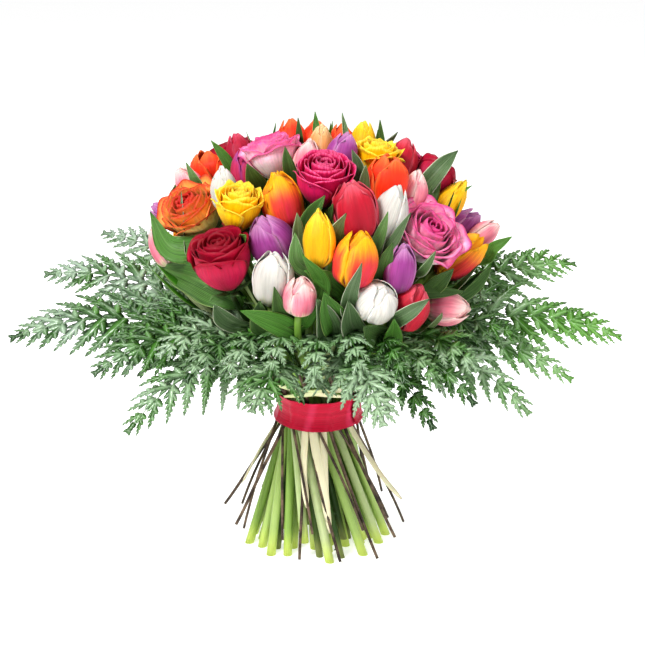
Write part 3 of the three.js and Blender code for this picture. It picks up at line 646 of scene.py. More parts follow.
def closed_tube(path, radii, sides, level=False):
    """A closed tube along a path, cut level at its foot if asked. Its pattern holds the angle and the place
    along it."""
    path = np.asarray(path, float)
    radii = np.broadcast_to(radii, len(path))
    tangents = unit(np.gradient(path, axis=0))
    side = unit(np.cross(tangents[0], INTO_PICTURE + vec(0.01, 0, 0)))
    turns = np.linspace(0, 2 * math.pi, sides, endpoint=False)
    rings = []
    for point, tangent, radius in zip(path, tangents, radii):
        side = unit(side - tangent * (side @ tangent))
        other = np.cross(tangent, side)
        rings.append(point + radius * (np.outer(np.cos(turns), side) + np.outer(np.sin(turns), other)))
    if level:
        slide = (path[0, 2] - rings[0][:, 2]) / tangents[0, 2]
        rings[0] = rings[0] + slide[:, None] * tangents[0]
    points = np.vstack(rings)
    index = np.arange(len(points)).reshape(len(path), sides)
    after = np.roll(index, -1, axis=1)
    walls = np.stack([index[:-1], after[:-1], after[1:], index[1:]], -1).reshape(-1, 4)
    ends = [index[0, ::-1].tolist(), index[-1].tolist()]
    along = np.repeat(np.linspace(0, 1, len(path)), sides)
    pattern = np.stack([np.tile(turns / math.pi - 1, len(path)), along, np.zeros(len(points))], -1)
    return points, walls.tolist() + ends, pattern


def piece(name, mesh, *finishes):
    """An object of the bouquet at the origin, with its materials."""
    thing = bpy.data.objects.new(name, mesh)
    bpy.context.scene.collection.objects.link(thing)
    for finish in finishes:
        mesh.materials.append(finish)
    return thing


def seeded(*words):
    """Random numbers that are the same for the same words each time."""
    return np.random.default_rng([sum(ord(c) * (i + 1) for i, c in enumerate(str(word))) for word in words])


# ---------------------------------------------------------------- finishes


class Value:
    """What comes out of a socket. Each sum that is done on it adds a node to its tree."""

    def __init__(self, nodes, socket):
        self.nodes = nodes
        self.socket = socket

    def __add__(self, other):
        return self.nodes.math("ADD", self, other)

    def __radd__(self, other):
        return self.nodes.math("ADD", other, self)

    def __sub__(self, other):
        return self.nodes.math("SUBTRACT", self, other)

    def __rsub__(self, other):
        return self.nodes.math("SUBTRACT", other, self)

    def __mul__(self, other):
        return self.nodes.math("MULTIPLY", self, other)

    def __truediv__(self, other):
        return self.nodes.math("DIVIDE", self, other)

    def __pow__(self, other):
        return self.nodes.math("POWER", self, other)

    def __abs__(self):
        return self.nodes.math("ABSOLUTE", self)


class Nodes:
    """Adds nodes to a tree. An input is given its own value or the one that feeds it."""

    def __init__(self, tree):
        self.tree = tree

    def feed(self, socket, value):
        if isinstance(value, Value):
            self.tree.links.new(value.socket, socket)
        else:
            socket.default_value = value

    def add(self, kind, inputs=None, **settings):
        node = self.tree.nodes.new(kind)
        for key, value in settings.items():
            setattr(node, key, value)
        for key, value in (inputs or {}).items():
            self.feed(node.inputs[key], value)
        return node

    def value(self, kind, inputs=None, out=0, **settings):
        """What comes out of a new node."""
        return Value(self, self.add(kind, inputs, **settings).outputs[out])

    def math(self, operation, a, b=0.0):
        return self.value("ShaderNodeMath", {0: a, 1: b}, operation=operation)

    def vector(self, x=0.0, y=0.0, z=0.0):
        return self.value("ShaderNodeCombineXYZ", {0: x, 1: y, 2: z})

    def split(self, vector):
        """The three parts of a vector."""
        return [Value(self, socket) for socket in self.add("ShaderNodeSeparateXYZ", {0: vector}).outputs]


def colour(code):
    """A linear colour from its sRGB code."""
    shares = [int(code[i : i + 2], 16) / 255 for i in (1, 3, 5)]
    return (*[c / 12.92 if c <= 0.04045 else ((c + 0.055) / 1.055) ** 2.4 for c in shares], 1.0)


class Finish(Nodes):
    """A material with one glossy coat, whose colour, roughness and bump are built up from patterns."""

    def __init__(self, name):
        self.material = bpy.data.materials.new(name)
        self.material.use_nodes = True
        super().__init__(self.material.node_tree)
        self.coat = self.tree.nodes["Principled BSDF"]

    def pattern(self):
        """The across, along and side values of the piece, and its tint."""
        vector = self.value("ShaderNodeAttribute", out="Vector", attribute_name="pattern")
        tint = self.value("ShaderNodeAttribute", out="Fac", attribute_name="tint")
        return (*self.split(vector), tint)

    def place(self):
        """The place in the bouquet, in metres."""
        return self.value("ShaderNodeTexCoord", out="Object")

    def span(self, value, low, high, to_low=0.0, to_high=1.0):
        """The value's share between low and high, as an S-curve from to_low to to_high."""
        inputs = {"Value": value, "From Min": low, "From Max": high, "To Min": to_low, "To Max": to_high}
        return self.value("ShaderNodeMapRange", inputs, "Result", interpolation_type="SMOOTHSTEP")

    def mix(self, share, a, b):
        """From a to b, each a colour code or what comes out of a node."""
        node = self.add("ShaderNodeMix", {"Factor": share}, data_type="RGBA")
        colours = [socket for socket in node.inputs if socket.type == "RGBA"]
        for socket, end in zip(colours, (a, b)):
            self.feed(socket, colour(end) if isinstance(end, str) else end)
        return Value(self, [socket for socket in node.outputs if socket.type == "RGBA"][0])

    def shaded(self, base, share, low, high):
        """A colour made darker or lighter: its value is multiplied by low to high as share goes from 0 to
        1."""
        value = self.span(share, 0.0, 1.0, low, high)
        return self.value("ShaderNodeHueSaturation", {"Value": value, "Color": base})

    def noise(self, vector, scale, detail=3.0, roughness=0.55):
        inputs = {"Vector": vector, "Scale": scale, "Detail": detail, "Roughness": roughness}
        return self.value("ShaderNodeTexNoise", inputs, "Fac")

    def waves(self, vector, scale, distortion, detail=2.0):
        inputs = {"Vector": vector, "Scale": scale, "Distortion": distortion, "Detail": detail}
        return self.value("ShaderNodeTexWave", inputs, "Fac")

    def bumped(self, *layers):
        """Bump from layers of height, depth in metres and strength."""
        normal = None
        for height, distance, strength in layers:
            inputs = {"Height": height, "Distance": distance, "Strength": strength}
            if normal:
                inputs["Normal"] = normal
            normal = self.value("ShaderNodeBump", inputs)
        self.feed(self.coat.inputs["Normal"], normal)

    def finished(self, base, roughness, **settings):
        """The material, once its coat has its colour, its roughness and the inputs that are named."""
        for key, value in {"base_color": base, "roughness": roughness, **settings}.items():
            title = key.replace("_", " ").title().replace("Ior", "IOR")
            self.feed(self.coat.inputs[title], value)
        return self.material


def petal_finish(name, foot, body, top, rim, feather, rim_width, feather_share, back=None, heart=None):
    """A petal: its foot, body and top run into each other, its rim is another tone, and feather-like
    streaks of one more colour run up from its foot along its middle. Back is the colour of its outer side,
    and heart that of the petals in the middle of a rose, whose tint is low."""
    finish = Finish(name)
    across, along, side, tint = finish.pattern()
    edge = abs(across)
    lengthwise = finish.vector(across * 7.0 + tint * 37.0, along * 1.3)
    fibres = finish.noise(lengthwise, 1.5, 6.0, 0.7)
    wisps = finish.noise(lengthwise, 0.7)
    base = finish.mix(finish.span(side, -1.0, 1.0), body, back or body)
    ragged = (wisps - 0.5) * 0.5 + along
    base = finish.mix(finish.span(ragged, 0.45, 1.0), base, top)
    streak = fibres * 0.9 - 0.15 - edge * 0.6
    streak = finish.span(streak, 0.0, 0.4) * finish.span(along, 0.95, 0.35)
    base = finish.mix(streak * feather_share, base, feather)
    base = finish.mix(finish.span(ragged, 0.3, 0.02), base, foot)
    if heart:
        base = finish.mix(finish.span(tint, 0.5, 0.2), base, heart)
    border = (fibres - 0.5) * 0.25 + finish.math("MAXIMUM", edge, along * 0.985)
    base = finish.mix(finish.span(border, 1.0 - rim_width, 1.02), base, rim)
    base = finish.shaded(base, finish.span(fibres, 0.25, 0.75), 0.8, 1.14)
    # Darker at a low tint: random per tulip petal; on a rose, painted shade among the inner petals.
    base = finish.shaded(base, tint, 0.88, 1.05)
    speckle = finish.noise(finish.place(), 900.0, 2.0)
    finish.bumped((fibres, 0.0012, 0.5), (speckle, 0.0002, 0.25))
    return finish.finished(
        base,
        finish.span(fibres, 0.2, 0.8, 0.42, 0.58),
        subsurface_weight=0.25,
        subsurface_radius=(0.006, 0.003, 0.002),
        sheen_weight=0.05,
        sheen_roughness=0.4,
        specular_ior_level=0.25,
    )


# The petals of each colour, as petal_finish takes them.
PETAL_FINISHES = {
    "tulip_white": ("#b9bd94", "#d0ccc4", "#d8d5ce", "#e4e1db", "#a6a29a", 0.25, 0.75),
    "tulip_yellow": ("#d9b422", "#f7b90e", "#fcc61c", "#ffdb48", "#e2820c", 0.25, 0.5),
    "tulip_flame": ("#b8284a", "#e2483a", "#fb9a0c", "#ffb818", "#cf2c4c", 0.45, 0.9),
    "tulip_purple": ("#93648a", "#a34b94", "#9b3f8c", "#c78dbb", "#6e2464", 0.32, 0.6),
    "tulip_pink": ("#dfe0b4", "#e58c9c", "#e2808f", "#f3d3cc", "#bd3f60", 0.4, 0.75),
    # The red tulip's pale, wide rim is partly its own margin and partly a painted silvery sheen.
    "tulip_red": ("#b8323e", "#bd1c36", "#c41c34", "#df6072", "#86081f", 0.28, 0.65),
    "tulip_coral": ("#f58a3a", "#f5401c", "#fb4420", "#ff7a3c", "#d81a18", 0.28, 0.6),
    "tulip_peach": ("#dcc28a", "#eaa868", "#f0b070", "#f8d0a0", "#de5428", 0.3, 0.8),
    "tulip_crimson": ("#b8405a", "#b81e42", "#b01838", "#d0506c", "#860a28", 0.25, 0.5),
    "tulip_magenta": ("#c06a80", "#c83660", "#bc2f68", "#a8509a", "#b80e34", 0.3, 0.5),
    "rose_crimson": ("#8c0c28", "#a60a30", "#b20c38", "#86061f", "#6c041a", 0.12, 0.5, "#b81a4a", "#a60424"),
    "rose_sunset": ("#fee27a", "#ffe08a", "#fdb45a", "#cc2420", "#f4843e", 0.2, 0.25, "#ffe294", "#ea3c26"),
    "rose_yellow": ("#e9b40c", "#fac40c", "#fdcb12", "#ffdf4c", "#eea408", 0.2, 0.5, None, "#f8b80a"),
    "rose_magenta": ("#9a0c44", "#c8165c", "#cc1a60", "#ee6696", "#8a0838", 0.1, 0.5, None, "#b80e50"),
    "rose_blush": ("#fdf2e8", "#fbe2e6", "#f5a0c2", "#e2488f", "#ee84b0", 0.17, 0.4, "#fce4e8", "#e65a9a"),
}


LEAF_BROWN = "#6a5230"


def leaf_finish(name, deep, bright, bloom, rim, rim_width):
    """A tulip leaf: parallel veins from foot to tip, a waxy bloom in patches, which is partly a painted
    silvery sheen, and a pale rim. A few leaves, whose tint is high, are brownish."""
    finish = Finish(name)
    across, along, side, tint = finish.pattern()
    edge = abs(across)
    lengthwise = finish.vector(across * 6.0 + tint * 53.0, along * 0.7)
    veins = finish.waves(lengthwise, 0.7, 1.6, 1.0)
    fine = finish.noise(lengthwise, 2.0, 5.0, 0.65)
    patches = finish.noise(finish.place(), 38.0)
    base = finish.mix(finish.span(tint, 0.1, 0.9), deep, bright)
    base = finish.mix(finish.span(tint, 0.94, 0.97) * 0.5, base, LEAF_BROWN)
    base = finish.mix(finish.span(along, 0.55, 0.05), base, bright)
    # The bloom colour in patches: partly the leaf's waxy bloom, partly a painted silvery sheen.
    base = finish.mix(finish.span(patches, 0.42, 0.75) * 0.25, base, bloom)
    base = finish.mix(finish.span(side, 0.2, -1.0) * 0.4, base, bloom)
    base = finish.shaded(base, finish.span(fine, 0.3, 0.7), 0.62, 1.3)
    base = finish.shaded(base, veins, 0.78, 1.14)
    base = finish.mix(finish.span(edge, 0.1, 0.0) * 0.12, base, rim)
    base = finish.mix(finish.span(edge, 1.0 - rim_width, 1.0), base, rim)
    finish.bumped((veins, 0.001, 0.45), (fine, 0.001, 0.4))
    return finish.finished(
        base,
        finish.span(patches, 0.3, 0.7, 0.28, 0.46),
        subsurface_weight=0.06,
        subsurface_radius=(0.002, 0.005, 0.001),
        specular_ior_level=0.35,
    )


def stem_finish(name, foot, low, high, streak, pale):
    """A stem: pale at its cut foot, greener upward, with fine streaks along it."""
    finish = Finish(name)
    across, along, _, tint = finish.pattern()
    fibres = finish.noise(finish.vector(across * 4.0 + tint * 31.0, along * 2.0), 3.0, 4.0)
    marks = finish.noise(finish.place(), 60.0)
    base = finish.mix(finish.span(along, 0.05, 0.6), low, high)
    base = finish.mix(finish.span(tint, 0.2, 0.7, 0.0, 0.7), base, high)
    base = finish.mix(finish.span(tint, 0.7, 0.95, 0.0, 0.6), base, pale)
    base = finish.mix(finish.span(marks, 0.5, 0.8) * 0.5, base, streak)
    base = finish.mix(finish.span(along, 0.07, 0.0), base, foot)
    base = finish.shaded(base, fibres, 0.85, 1.12)
    finish.bumped((fibres, 0.0008, 0.35), (marks, 0.001, 0.2))
    return finish.finished(
        base,
        0.42,
        subsurface_weight=0.15,
        subsurface_radius=(0.004, 0.006, 0.002),
        specular_ior_level=0.45,
    )


def fern_finish(name, deep, bright, tip, lime, left_highlight):
    """A leatherleaf frond: leathery and glossy leaflets of many greens, painted with a silvery highlight
    in patches, with a rib down each, lime at the right, where the fronds are young, and painted with a
    greyish highlight at the left but for the far tips."""
    finish = Finish(name)
    across, along, frond, tint = finish.pattern()
    where = finish.place()
    right = finish.split(where)[0]
    patches = finish.noise(where, 16.0)
    grain = finish.noise(where, 420.0)
    # lit: where the painted silvery highlight goes, in noise patches and more on some fronds.
    lit = (tint - 0.5) * 0.14 + patches + frond * 0.3
    base = finish.mix(tint * 0.6 + frond * 0.4, deep, bright)
    # Painted highlight: the pale tip colour laid over the lit patches as a silvery gleam.
    base = finish.mix(finish.span(lit, 0.56, 0.84) * 0.75, base, tip)
    fresh = finish.span(right, 0.15, 0.29) * finish.span(patches, 0.35, 0.6, 0.1, 0.7)
    base = finish.mix(fresh, base, lime)
    # Painted highlight: a greyish silver over the lit patches at the left, fainter at the far left tips.
    left_highlight_share = finish.span(right, -0.1, -0.25) * finish.span(lit, 0.5, 0.72, 0.08, 0.85)
    base = finish.mix(left_highlight_share * finish.span(right, -0.31, -0.23, 0.15, 1.0), base, left_highlight)
    # The same pale colour also runs down the rib and out to the leaflets' tips, their own paler tone.
    base = finish.mix(finish.span(abs(across), 0.16, 0.0) * 0.4, base, tip)
    base = finish.mix(finish.span(along, 0.75, 1.0, 0.0, 0.4), base, tip)
    base = finish.shaded(base, grain, 0.85, 1.15)
    veins = finish.math("PINGPONG", along * 5.0 - abs(across), 0.5)
    finish.bumped((veins, 0.0007, 0.4), (grain, 0.0003, 0.3))
    return finish.finished(
        base,
        finish.span(tint, 0.0, 1.0, 0.34, 0.22),
        subsurface_weight=0.08,
        subsurface_radius=(0.002, 0.004, 0.001),
        specular_ior_level=0.55,
    )


def bark_finish(name, dark, light):
    """A brown fern stalk."""
    finish = Finish(name)
    where = finish.place()
    blotches = finish.noise(where, 90.0)
    grain = finish.noise(where, 700.0, 2.0)
    base = finish.mix(finish.span(blotches, 0.35, 0.7), dark, light)
    finish.bumped((grain, 0.0004, 0.4), (blotches, 0.0006, 0.3))
    return finish.finished(finish.shaded(base, grain, 0.8, 1.2), 0.5, specular_ior_level=0.4)


def satin_finish(name, deep, bright, glint, selvage):
    """Satin: long floats of thread that shine along the band, a fine weave, and painted glints, bands of a
    lighter pink here and there that stand for the satin's highlights."""
    finish = Finish(name)
    across, along, _, _ = finish.pattern()
    floats = finish.noise(finish.vector(across * 55.0, along * 9.0), 1.0, 2.0)
    weave = finish.waves(finish.vector(across), 24.0, 0.3)
    slubs = finish.noise(finish.vector(across * 5.0, along), 6.0)
    glints = finish.noise(finish.vector((across * 0.012 + along) * 13.0), 1.0, 1.0)
    base = finish.mix(finish.span(slubs, 0.3, 0.7), deep, bright)
    # Painted highlight: the glint colour mixed in along noise bands that run along the ribbon.
    base = finish.mix(finish.span(glints, 0.5, 0.66, 0.0, 0.5), base, glint)
    base = finish.mix(finish.span(abs(across), 0.9, 0.99) * 0.6, base, selvage)
    base = finish.shaded(base, floats, 0.9, 1.1)
    finish.bumped((weave, 0.0001, 0.3), (floats, 0.0004, 0.4))
    roughness = finish.span(floats, 0.3, 0.7, 0.3, 0.42)
    return finish.finished(base, roughness, specular_ior_level=0.3, anisotropic=0.6)


def plain_finish(name, base, light, scale, roughness):
    """A matt finish of two tones with a fine bump."""
    finish = Finish(name)
    grain = finish.noise(finish.place(), scale)
    finish.bumped((grain, 0.0004, 0.3))
    return finish.finished(finish.mix(finish.span(grain, 0.35, 0.65), base, light), roughness)


# ---------------------------------------------------------------- flowers

# How far out a shut petal of a tulip bulges at each share of its height, in half widths of the flower.
TULIP_HEIGHTS = (0, 0.1, 0.36, 0.74, 1.0)
TULIP_OUTS = (0.06, 0.64, 1.02, 0.84, 0.24)


def tulip(shape, flower, index):
    """Three outer and three inner petals, cupped round six stamens and a pistil."""
    chance = seeded(flower.name, index)
    radius = flower.width / 2
    across, along = sheet_places(15, 19)
    sides = through(along, [0, 0.12, 0.35, 0.62, 0.85, 1], [0.24, 0.66, 1.04, 1.06, 0.86, 0.46])
    shut = 0.4 + 0.5 * (1 - ramp(flower.opened, 0.2, 0.5))
    for petal in range(6):
        inner = petal % 2
        turn = petal * math.pi / 3 + chance.normal(0, 0.05)
        tall = flower.length * (1.0 if inner else 0.975) * (1 - abs(chance.normal(0, 0.03)))
        lean = chance.normal(0.01, 0.04) + (0 if inner else 0.05 * flower.opened)
        half = radius * (1.0 if inner else 1.08) * sides
        pointed = (0.2 if inner else 0.17) + chance.uniform(-0.03, 0.04)
        share = along * (1 - pointed * np.abs(across) ** 1.7 * along**2)
        spread = flower.opened * (0.3 if inner and flower.opened < 0.2 else 0.55)
        closing = 0.9 - shut * ramp(share, 0.72, 1.0) if inner else 1.0
        out = through(share, TULIP_HEIGHTS, TULIP_OUTS) * closing
        out = (out + (spread + lean) * ramp(share, 0.35, 1.05)) * radius
        bend = np.maximum(out * 0.9, radius * 0.42)
        angle = across * half / bend
        middle = np.exp(-((across / 0.13) ** 2)) * ramp(along, 0.05, 0.5)
        flare = chance.uniform(0.02, 0.12) * np.abs(across) ** 5 * ramp(along, 0.25, 0.9)
        ruffle = 0.03 * np.sin(across * 5 + chance.uniform(0, 6)) * across**2 * along
        drawn = out - bend * (1 - np.cos(angle)) - radius * (0.035 * middle - flare - ruffle)
        curl = ramp(along, 0.8, 1.0) * np.exp(-((across / 0.4) ** 2)) * chance.uniform(-0.04, 0.16) * radius
        grid = flower.place(share * tall, drawn + curl, bend * np.sin(angle), np.full_like(along, turn))
        shape.sheet(grid[:, ::-1], 0.9, chance.random())
    if flower.opened > 0.3:
        stamens(shape, flower)


def stamens(shape, flower):
    """Six dark anthers round a pale pistil."""
    side, front = flower.directions()
    foot = flower.centre - flower.axis * flower.length * 0.46
    for i in range(6):
        turn = i * math.pi / 3
        outward = side * math.cos(turn) + front * math.sin(turn)
        rise = np.linspace(0, 1, 9)[:, None]
        path = foot + flower.axis * rise * 24 + outward * (2 + rise * 5)
        radii = np.interp(rise[:, 0], [0, 0.5, 0.56, 0.75, 0.95, 1], [0.7, 0.6, 1.5, 1.9, 1.4, 0.3])
        shape.tube(path, radii, 8, 0.5, slot=1)
    rise = np.linspace(0, 1, 7)[:, None]
    radii = np.interp(rise[:, 0], [0, 0.8, 0.9, 1], [2.4, 1.9, 2.8, 1.2])
    shape.tube(foot + flower.axis * rise * 21, radii, 9, 0.5, slot=2)


ROSE_PETALS = 23

# How each rose is: how much its rims ruffle, how far its outer petals flare, how pointed they are, and how
# far they close over the heart.
ROSE_HABITS = {
    "crimson": (0.9, 0.3, 0.4, 0.9),
    "sunset": (2.2, 1.1, 0.6, 0.1),
    "yellow": (1.2, 0.7, 1.7, 0.2),
    "magenta": (0.6, 0.2, 0.2, 0.5),
    "blush": (3.2, 0.9, 0.1, 0.0),
}


def rose(shape, flower, index):
    """A spiral of petals: shut round the heart, cupped in the middle, and curled back at the outside."""
    chance = seeded(flower.name, index)
    ruffle, flare, point, closed = ROSE_HABITS[flower.colour]
    radius = flower.width / 2
    across, along = sheet_places(19, 15)
    sides = np.maximum(np.abs(across) - 0.5, 0) / 0.5
    widening = through(along, [0, 0.2, 0.55, 0.9, 1], [0.5, 0.8, 1.0, 1.0, 0.94])
    for petal in range(ROSE_PETALS):
        t = petal / (ROSE_PETALS - 1)
        turn = flower.spin + petal * GOLDEN_TURN + chance.normal(0, 0.14)
        rim = float(through(t, [0, 0.25, 0.55, 0.8, 1], [0.05, 0.3, 0.6, 0.82, 0.98]))
        rim = rim * (1 - 0.2 * closed * t**2) + 0.1 * flare * t**2
        belly = 0.1 + 0.8 * t**0.7
        tall = float(through(t, [0, 0.25, 0.55, 0.8, 1], [0.95, 1.0, 0.98, 0.94, 0.86])) + 0.13 * closed * t
        tall = tall * flower.length * (1 + chance.uniform(-0.035, 0.01))
        reach = float(through(t, [0, 0.3, 0.65, 1], [2.5, 1.6, 1.2, 1.0]))
        tipped = np.exp(-((across / 0.16) ** 2)) * t
        share = along * (1 + (0.06 * point * tipped - 0.12 * np.abs(across) ** 3.2) * along**2)
        out = through(along, [0, 0.15, 0.5, 1], [0.05, 0.46 * belly, 0.94 * belly, rim])
        out = out + 0.04 * across * (1 - 0.5 * t) * ramp(along, 0.1, 0.6)
        rolled = ramp(along, 0.74, 1.0) ** 1.5 * max(t - 0.22, 0) / 0.78
        phase = chance.uniform(0, 6.28)
        wave = (np.sin(across * 3.4 + phase) + 0.5 * np.sin(across * 8.3 + 2 * phase)) * ramp(along, 0.6, 1)
        wave = wave * (0.35 + t) * ruffle
        out = out + 0.13 * rolled + 0.02 * wave + 0.09 * sides**2 * ramp(along, 0.3, 1) * t**2
        out = out + 0.05 * point * tipped * ramp(along, 0.8, 1)
        lowered = 0.1 * rolled + 0.05 * sides**2 * along * t
        high = (share - lowered + 0.012 * wave) * tall
        grid = flower.place(high, out * radius, np.zeros_like(out), turn + across * reach * widening)
        # The tint rises from the heart outward, so the finish paints the inner petals darker, as shade.
        shape.sheet(grid[:, ::-1], 0.8, 0.08 + 0.84 * t + 0.08 * chance.random())
    sepals(shape, flower, chance)


def sepals(shape, flower, chance):
    """The green hip under a rose and its five sepals, which bend back."""
    radius = flower.width / 2
    across, along = sheet_places(5, 11)
    half = through(along, [0, 0.25, 0.6, 1], [3.6, 3.9, 2.2, 0.3])
    out = through(along, [0, 0.3, 0.7, 1], [3.0, radius * 0.42, radius * 0.7, radius * 0.86])
    for i in range(5):
        turn = i * 2 * math.pi / 5 + chance.normal(0, 0.1)
        high = through(along, [0, 0.3, 0.7, 1], [0.5, 3.2, 7.5, chance.uniform(3.0, 12.0)])
        grid = flower.place(high - 1.6 - np.abs(across) * 0.5, out, across * half, np.full_like(along, turn))
        shape.sheet(grid[:, ::-1], 0.8, chance.random(), slot=1)
    foot = flower.centre - flower.axis * flower.length / 2
    rise = np.linspace(-4.5, 3.5, 7)[:, None]
    radii = np.interp(rise[:, 0], [-4.5, -3, 0, 2, 3.5], [3.0, 4.4, 5.0, 4.4, 2.4])
    shape.tube(foot + flower.axis * rise, radii, 12, 0.4, slot=1)


# ---------------------------------------------------------------- stems


def tie_slot(index):
    """The place of a stem in the tie, counted outward along a sunflower spiral."""
    radius = STEM_PITCH * math.sqrt(index + 0.5)
    return vec(radius * math.cos(index * GOLDEN_TURN), radius * math.sin(index * GOLDEN_TURN), TIE_HEIGHT)


def below_tie(slot, height, spread=FOOT_SPREAD):
    """Where a stem that runs through the tie at a point passes a height below it."""
    foot = turned(flat_part(slot), UP, FOOT_TURN) * spread
    return foot + (slot - foot) * height / TIE_HEIGHT


def share_out():
    """Gives each flower a place in the tie below it: any two are exchanged as long as both together come
    nearer."""
    slots = [tie_slot(i) for i in range(len(flowers))]
    scale = DOME_RADIUS / np.linalg.norm(tie_slot(len(flowers))[:2])
    above = np.array([turned(slot, UP, -BLOOM_TURN) * scale for slot in slots])[:, :2]
    centres = np.array([flower.centre for flower in flowers])[:, :2]
    miss = ((centres[:, None] - above[None]) ** 2).sum(-1)
    chosen = list(range(len(flowers)))
    exchanged = True
    while exchanged:
        exchanged = False
        for a in range(len(flowers)):
            for b in range(len(flowers)):
                now = miss[a, chosen[a]] + miss[b, chosen[b]]
                if now - miss[a, chosen[b]] - miss[b, chosen[a]] > 1:
                    chosen[a], chosen[b] = chosen[b], chosen[a]
                    exchanged = True
    return [slots[i] for i in chosen]


def cut_height(index, slot):
    """Every third stem that stands inside the bundle is cut a little short."""
    outer = math.hypot(slot[0], slot[1]) > 0.72 * RIBBON_WAIST
    return 0 if outer or index % 3 else SHORTEST_CUT * (0.3 + 0.7 * (index * 0.618 % 1))


class Stem:
    def __init__(self, index, flower, slot):
        self.flower = flower
        self.radius = STEM_RADIUS[flower.kind]
        self.slot = slot
        self.foot = below_tie(slot, cut_height(index, slot))
        grown = 1 + 2 * FLOWER_GAP / flower.width
        self.base = flower.centre - flower.axis * (flower.length / 2 * grown + 0.02)
        reach = np.linalg.norm(self.base - slot)
        climb = unit(unit(slot - self.foot) * 0.6 + UP * 0.4)
        self.controls = [slot, slot + climb * reach * 0.3, self.base - flower.axis * reach * 0.3, self.base]
        self.middle = bent_clear(bezier(self.controls, STEM_MIDDLE), self.radius, flower)

    def path(self):
        """The stem's middle line: straight below the tie, then a bow that keeps clear of other flowers."""
        low = np.linspace(0, 0.92, 9)[:, None]
        t = np.linspace(0, 1, 15)
        bow = bezier(self.controls, t)
        clear = bent_clear(bow, self.radius, self.flower) - bow
        pull = self.middle - bezier(self.controls, STEM_MIDDLE)
        pull = pull * np.exp(-(((t - STEM_MIDDLE) / 0.25) ** 2))[:, None]
        strength = (np.sin(math.pi * t) ** 0.5)[:, None]
        bow = bow + np.where(np.abs(clear).sum(-1, keepdims=True) > 0, clear, pull) * strength
        return np.vstack([self.foot + (self.slot - self.foot) * low, bow])


stems = [Stem(i, flower, slot) for i, (flower, slot) in enumerate(zip(flowers, share_out()))]

# ---------------------------------------------------------------- leaves

# The places on the stems where a leaf can grow: between the tie and the flowers, well apart.
leaf_places = []
for stem in stems:
    leaf_places += [stem.slot + (stem.middle - stem.slot) * t for t in (0.45, 0.7, 0.95)]
    leaf_places += [stem.middle + (stem.base - stem.middle) * t for t in (0.25, 0.5, 0.75)]


def take_leaf_place(point):
    """Takes the free place on the stems that lies nearest to a point."""
    distances = [np.linalg.norm(place - point) for place in leaf_places]
    return leaf_places.pop(int(np.argmin(distances)))


# Where along a leaf it is kept clear of the flowers.
LEAF_KNOTS = (0, 0.36, 0.7, 1)


class Leaf:
    def __init__(self, tip, shown, width, facing):
        self.tip = tip
        self.width = width
        self.root = take_leaf_place(shown + (vec(0, 0, TIE_HEIGHT) - shown) * 0.08)
        self.controls = [self.root, shown + (self.root - shown) * 0.15, tip]
        self.across = np.cross(tip - self.root, facing)
        knots = np.array(LEAF_KNOTS)
        halves = np.maximum(width / 2 * np.array([0.1, 0.86, 0.94, 0.05]), 0.5)
        line = bezier(self.controls, knots)
        self.push = (bent_clear(line, 2 + halves * 0.8) - line) * (knots > 0)[:, None]


def front_leaf(tip_across, tip_up, shown_across, shown_up, width, proud):
    shown = on_dome(shown_across, shown_up, -14)
    facing = unit(shown - UP * DOME_HEIGHT) - LOOKING
    return Leaf(on_dome(tip_across, tip_up, proud + 6), shown, width, facing)


def rear_leaf(turn, lean, width):
    shown = dome_point(turn, lean + 20, -22)
    return Leaf(dome_point(turn, lean, 26), shown, width, bearing(turn, lean + 10))


leaves = [front_leaf(*row) for row in FRONT_LEAVES]
leaves += [rear_leaf(*row) for row in REAR_LEAVES]
leaves += [front_leaf(*row) for row in SMALL_LEAVES]
for count, first, last, lean, width in REAR_FILLS:
    for i, turn in enumerate(np.linspace(first, last, count)):
        leaves.append(rear_leaf(turn, lean + 4 * (i % 2), width - 3 * (i % 3)))


def leaf_blade(shape, leaf, index):
    """A tulip leaf: folded along its rib, with edges that wave a little and a drawn-out tip."""
    chance = seeded("leaf", index)
    across, along = sheet_places(11, 27)
    t = along[:, 0]
    line = bezier(leaf.controls, t) + through(t, LEAF_KNOTS, leaf.push)
    tangent = unit(np.gradient(line, axis=0))
    side = unit(leaf.across - tangent * (tangent @ leaf.across)[:, None])
    side = turned(side, tangent, chance.normal(0, 0.5) * (0.4 - t))
    rise = np.cross(side, tangent)
    shares = [0.1, 0.5, 0.86, 1.0, 0.93, 0.66, 0.3, 0.02]
    half = leaf.width / 2 * through(t, [0, 0.15, 0.36, 0.52, 0.68, 0.84, 0.94, 1], shares)
    half = np.maximum(half, 0.35)[:, None]
    fold = LEAF_FOLD * (1 + chance.uniform(-0.4, 0.5))
    wave = 0.17 * np.sin(along * chance.uniform(7, 12) + chance.uniform(0, 6) + across) * across**2
    lift = half * (fold * np.abs(across) ** 1.4 + wave * np.sin(math.pi * along))
    grid = strip(line, side, half * across) + rise[:, None] * lift[..., None]
    shape.sheet(grid, LEAF_THICKNESS, chance.random(), slot=int(chance.random() < 0.45))


# ---------------------------------------------------------------- fern

# The outline of a leaflet, one unit long, from its foot to near its tip: how far along, and its half width
# there.
LEAFLET_ROWS = ((0.0, 0.26), (0.2, 0.34), (0.31, 0.26), (0.48, 0.3), (0.57, 0.2), (0.73, 0.21), (0.8, 0.11))

# The feathers of a frond from its foot to its tip: their pairs of leaflets, and how large these are.
FEATHER_STAGES = ((14, 1.0), (11, 1.12), (7, 1.5), (5, 2.0))


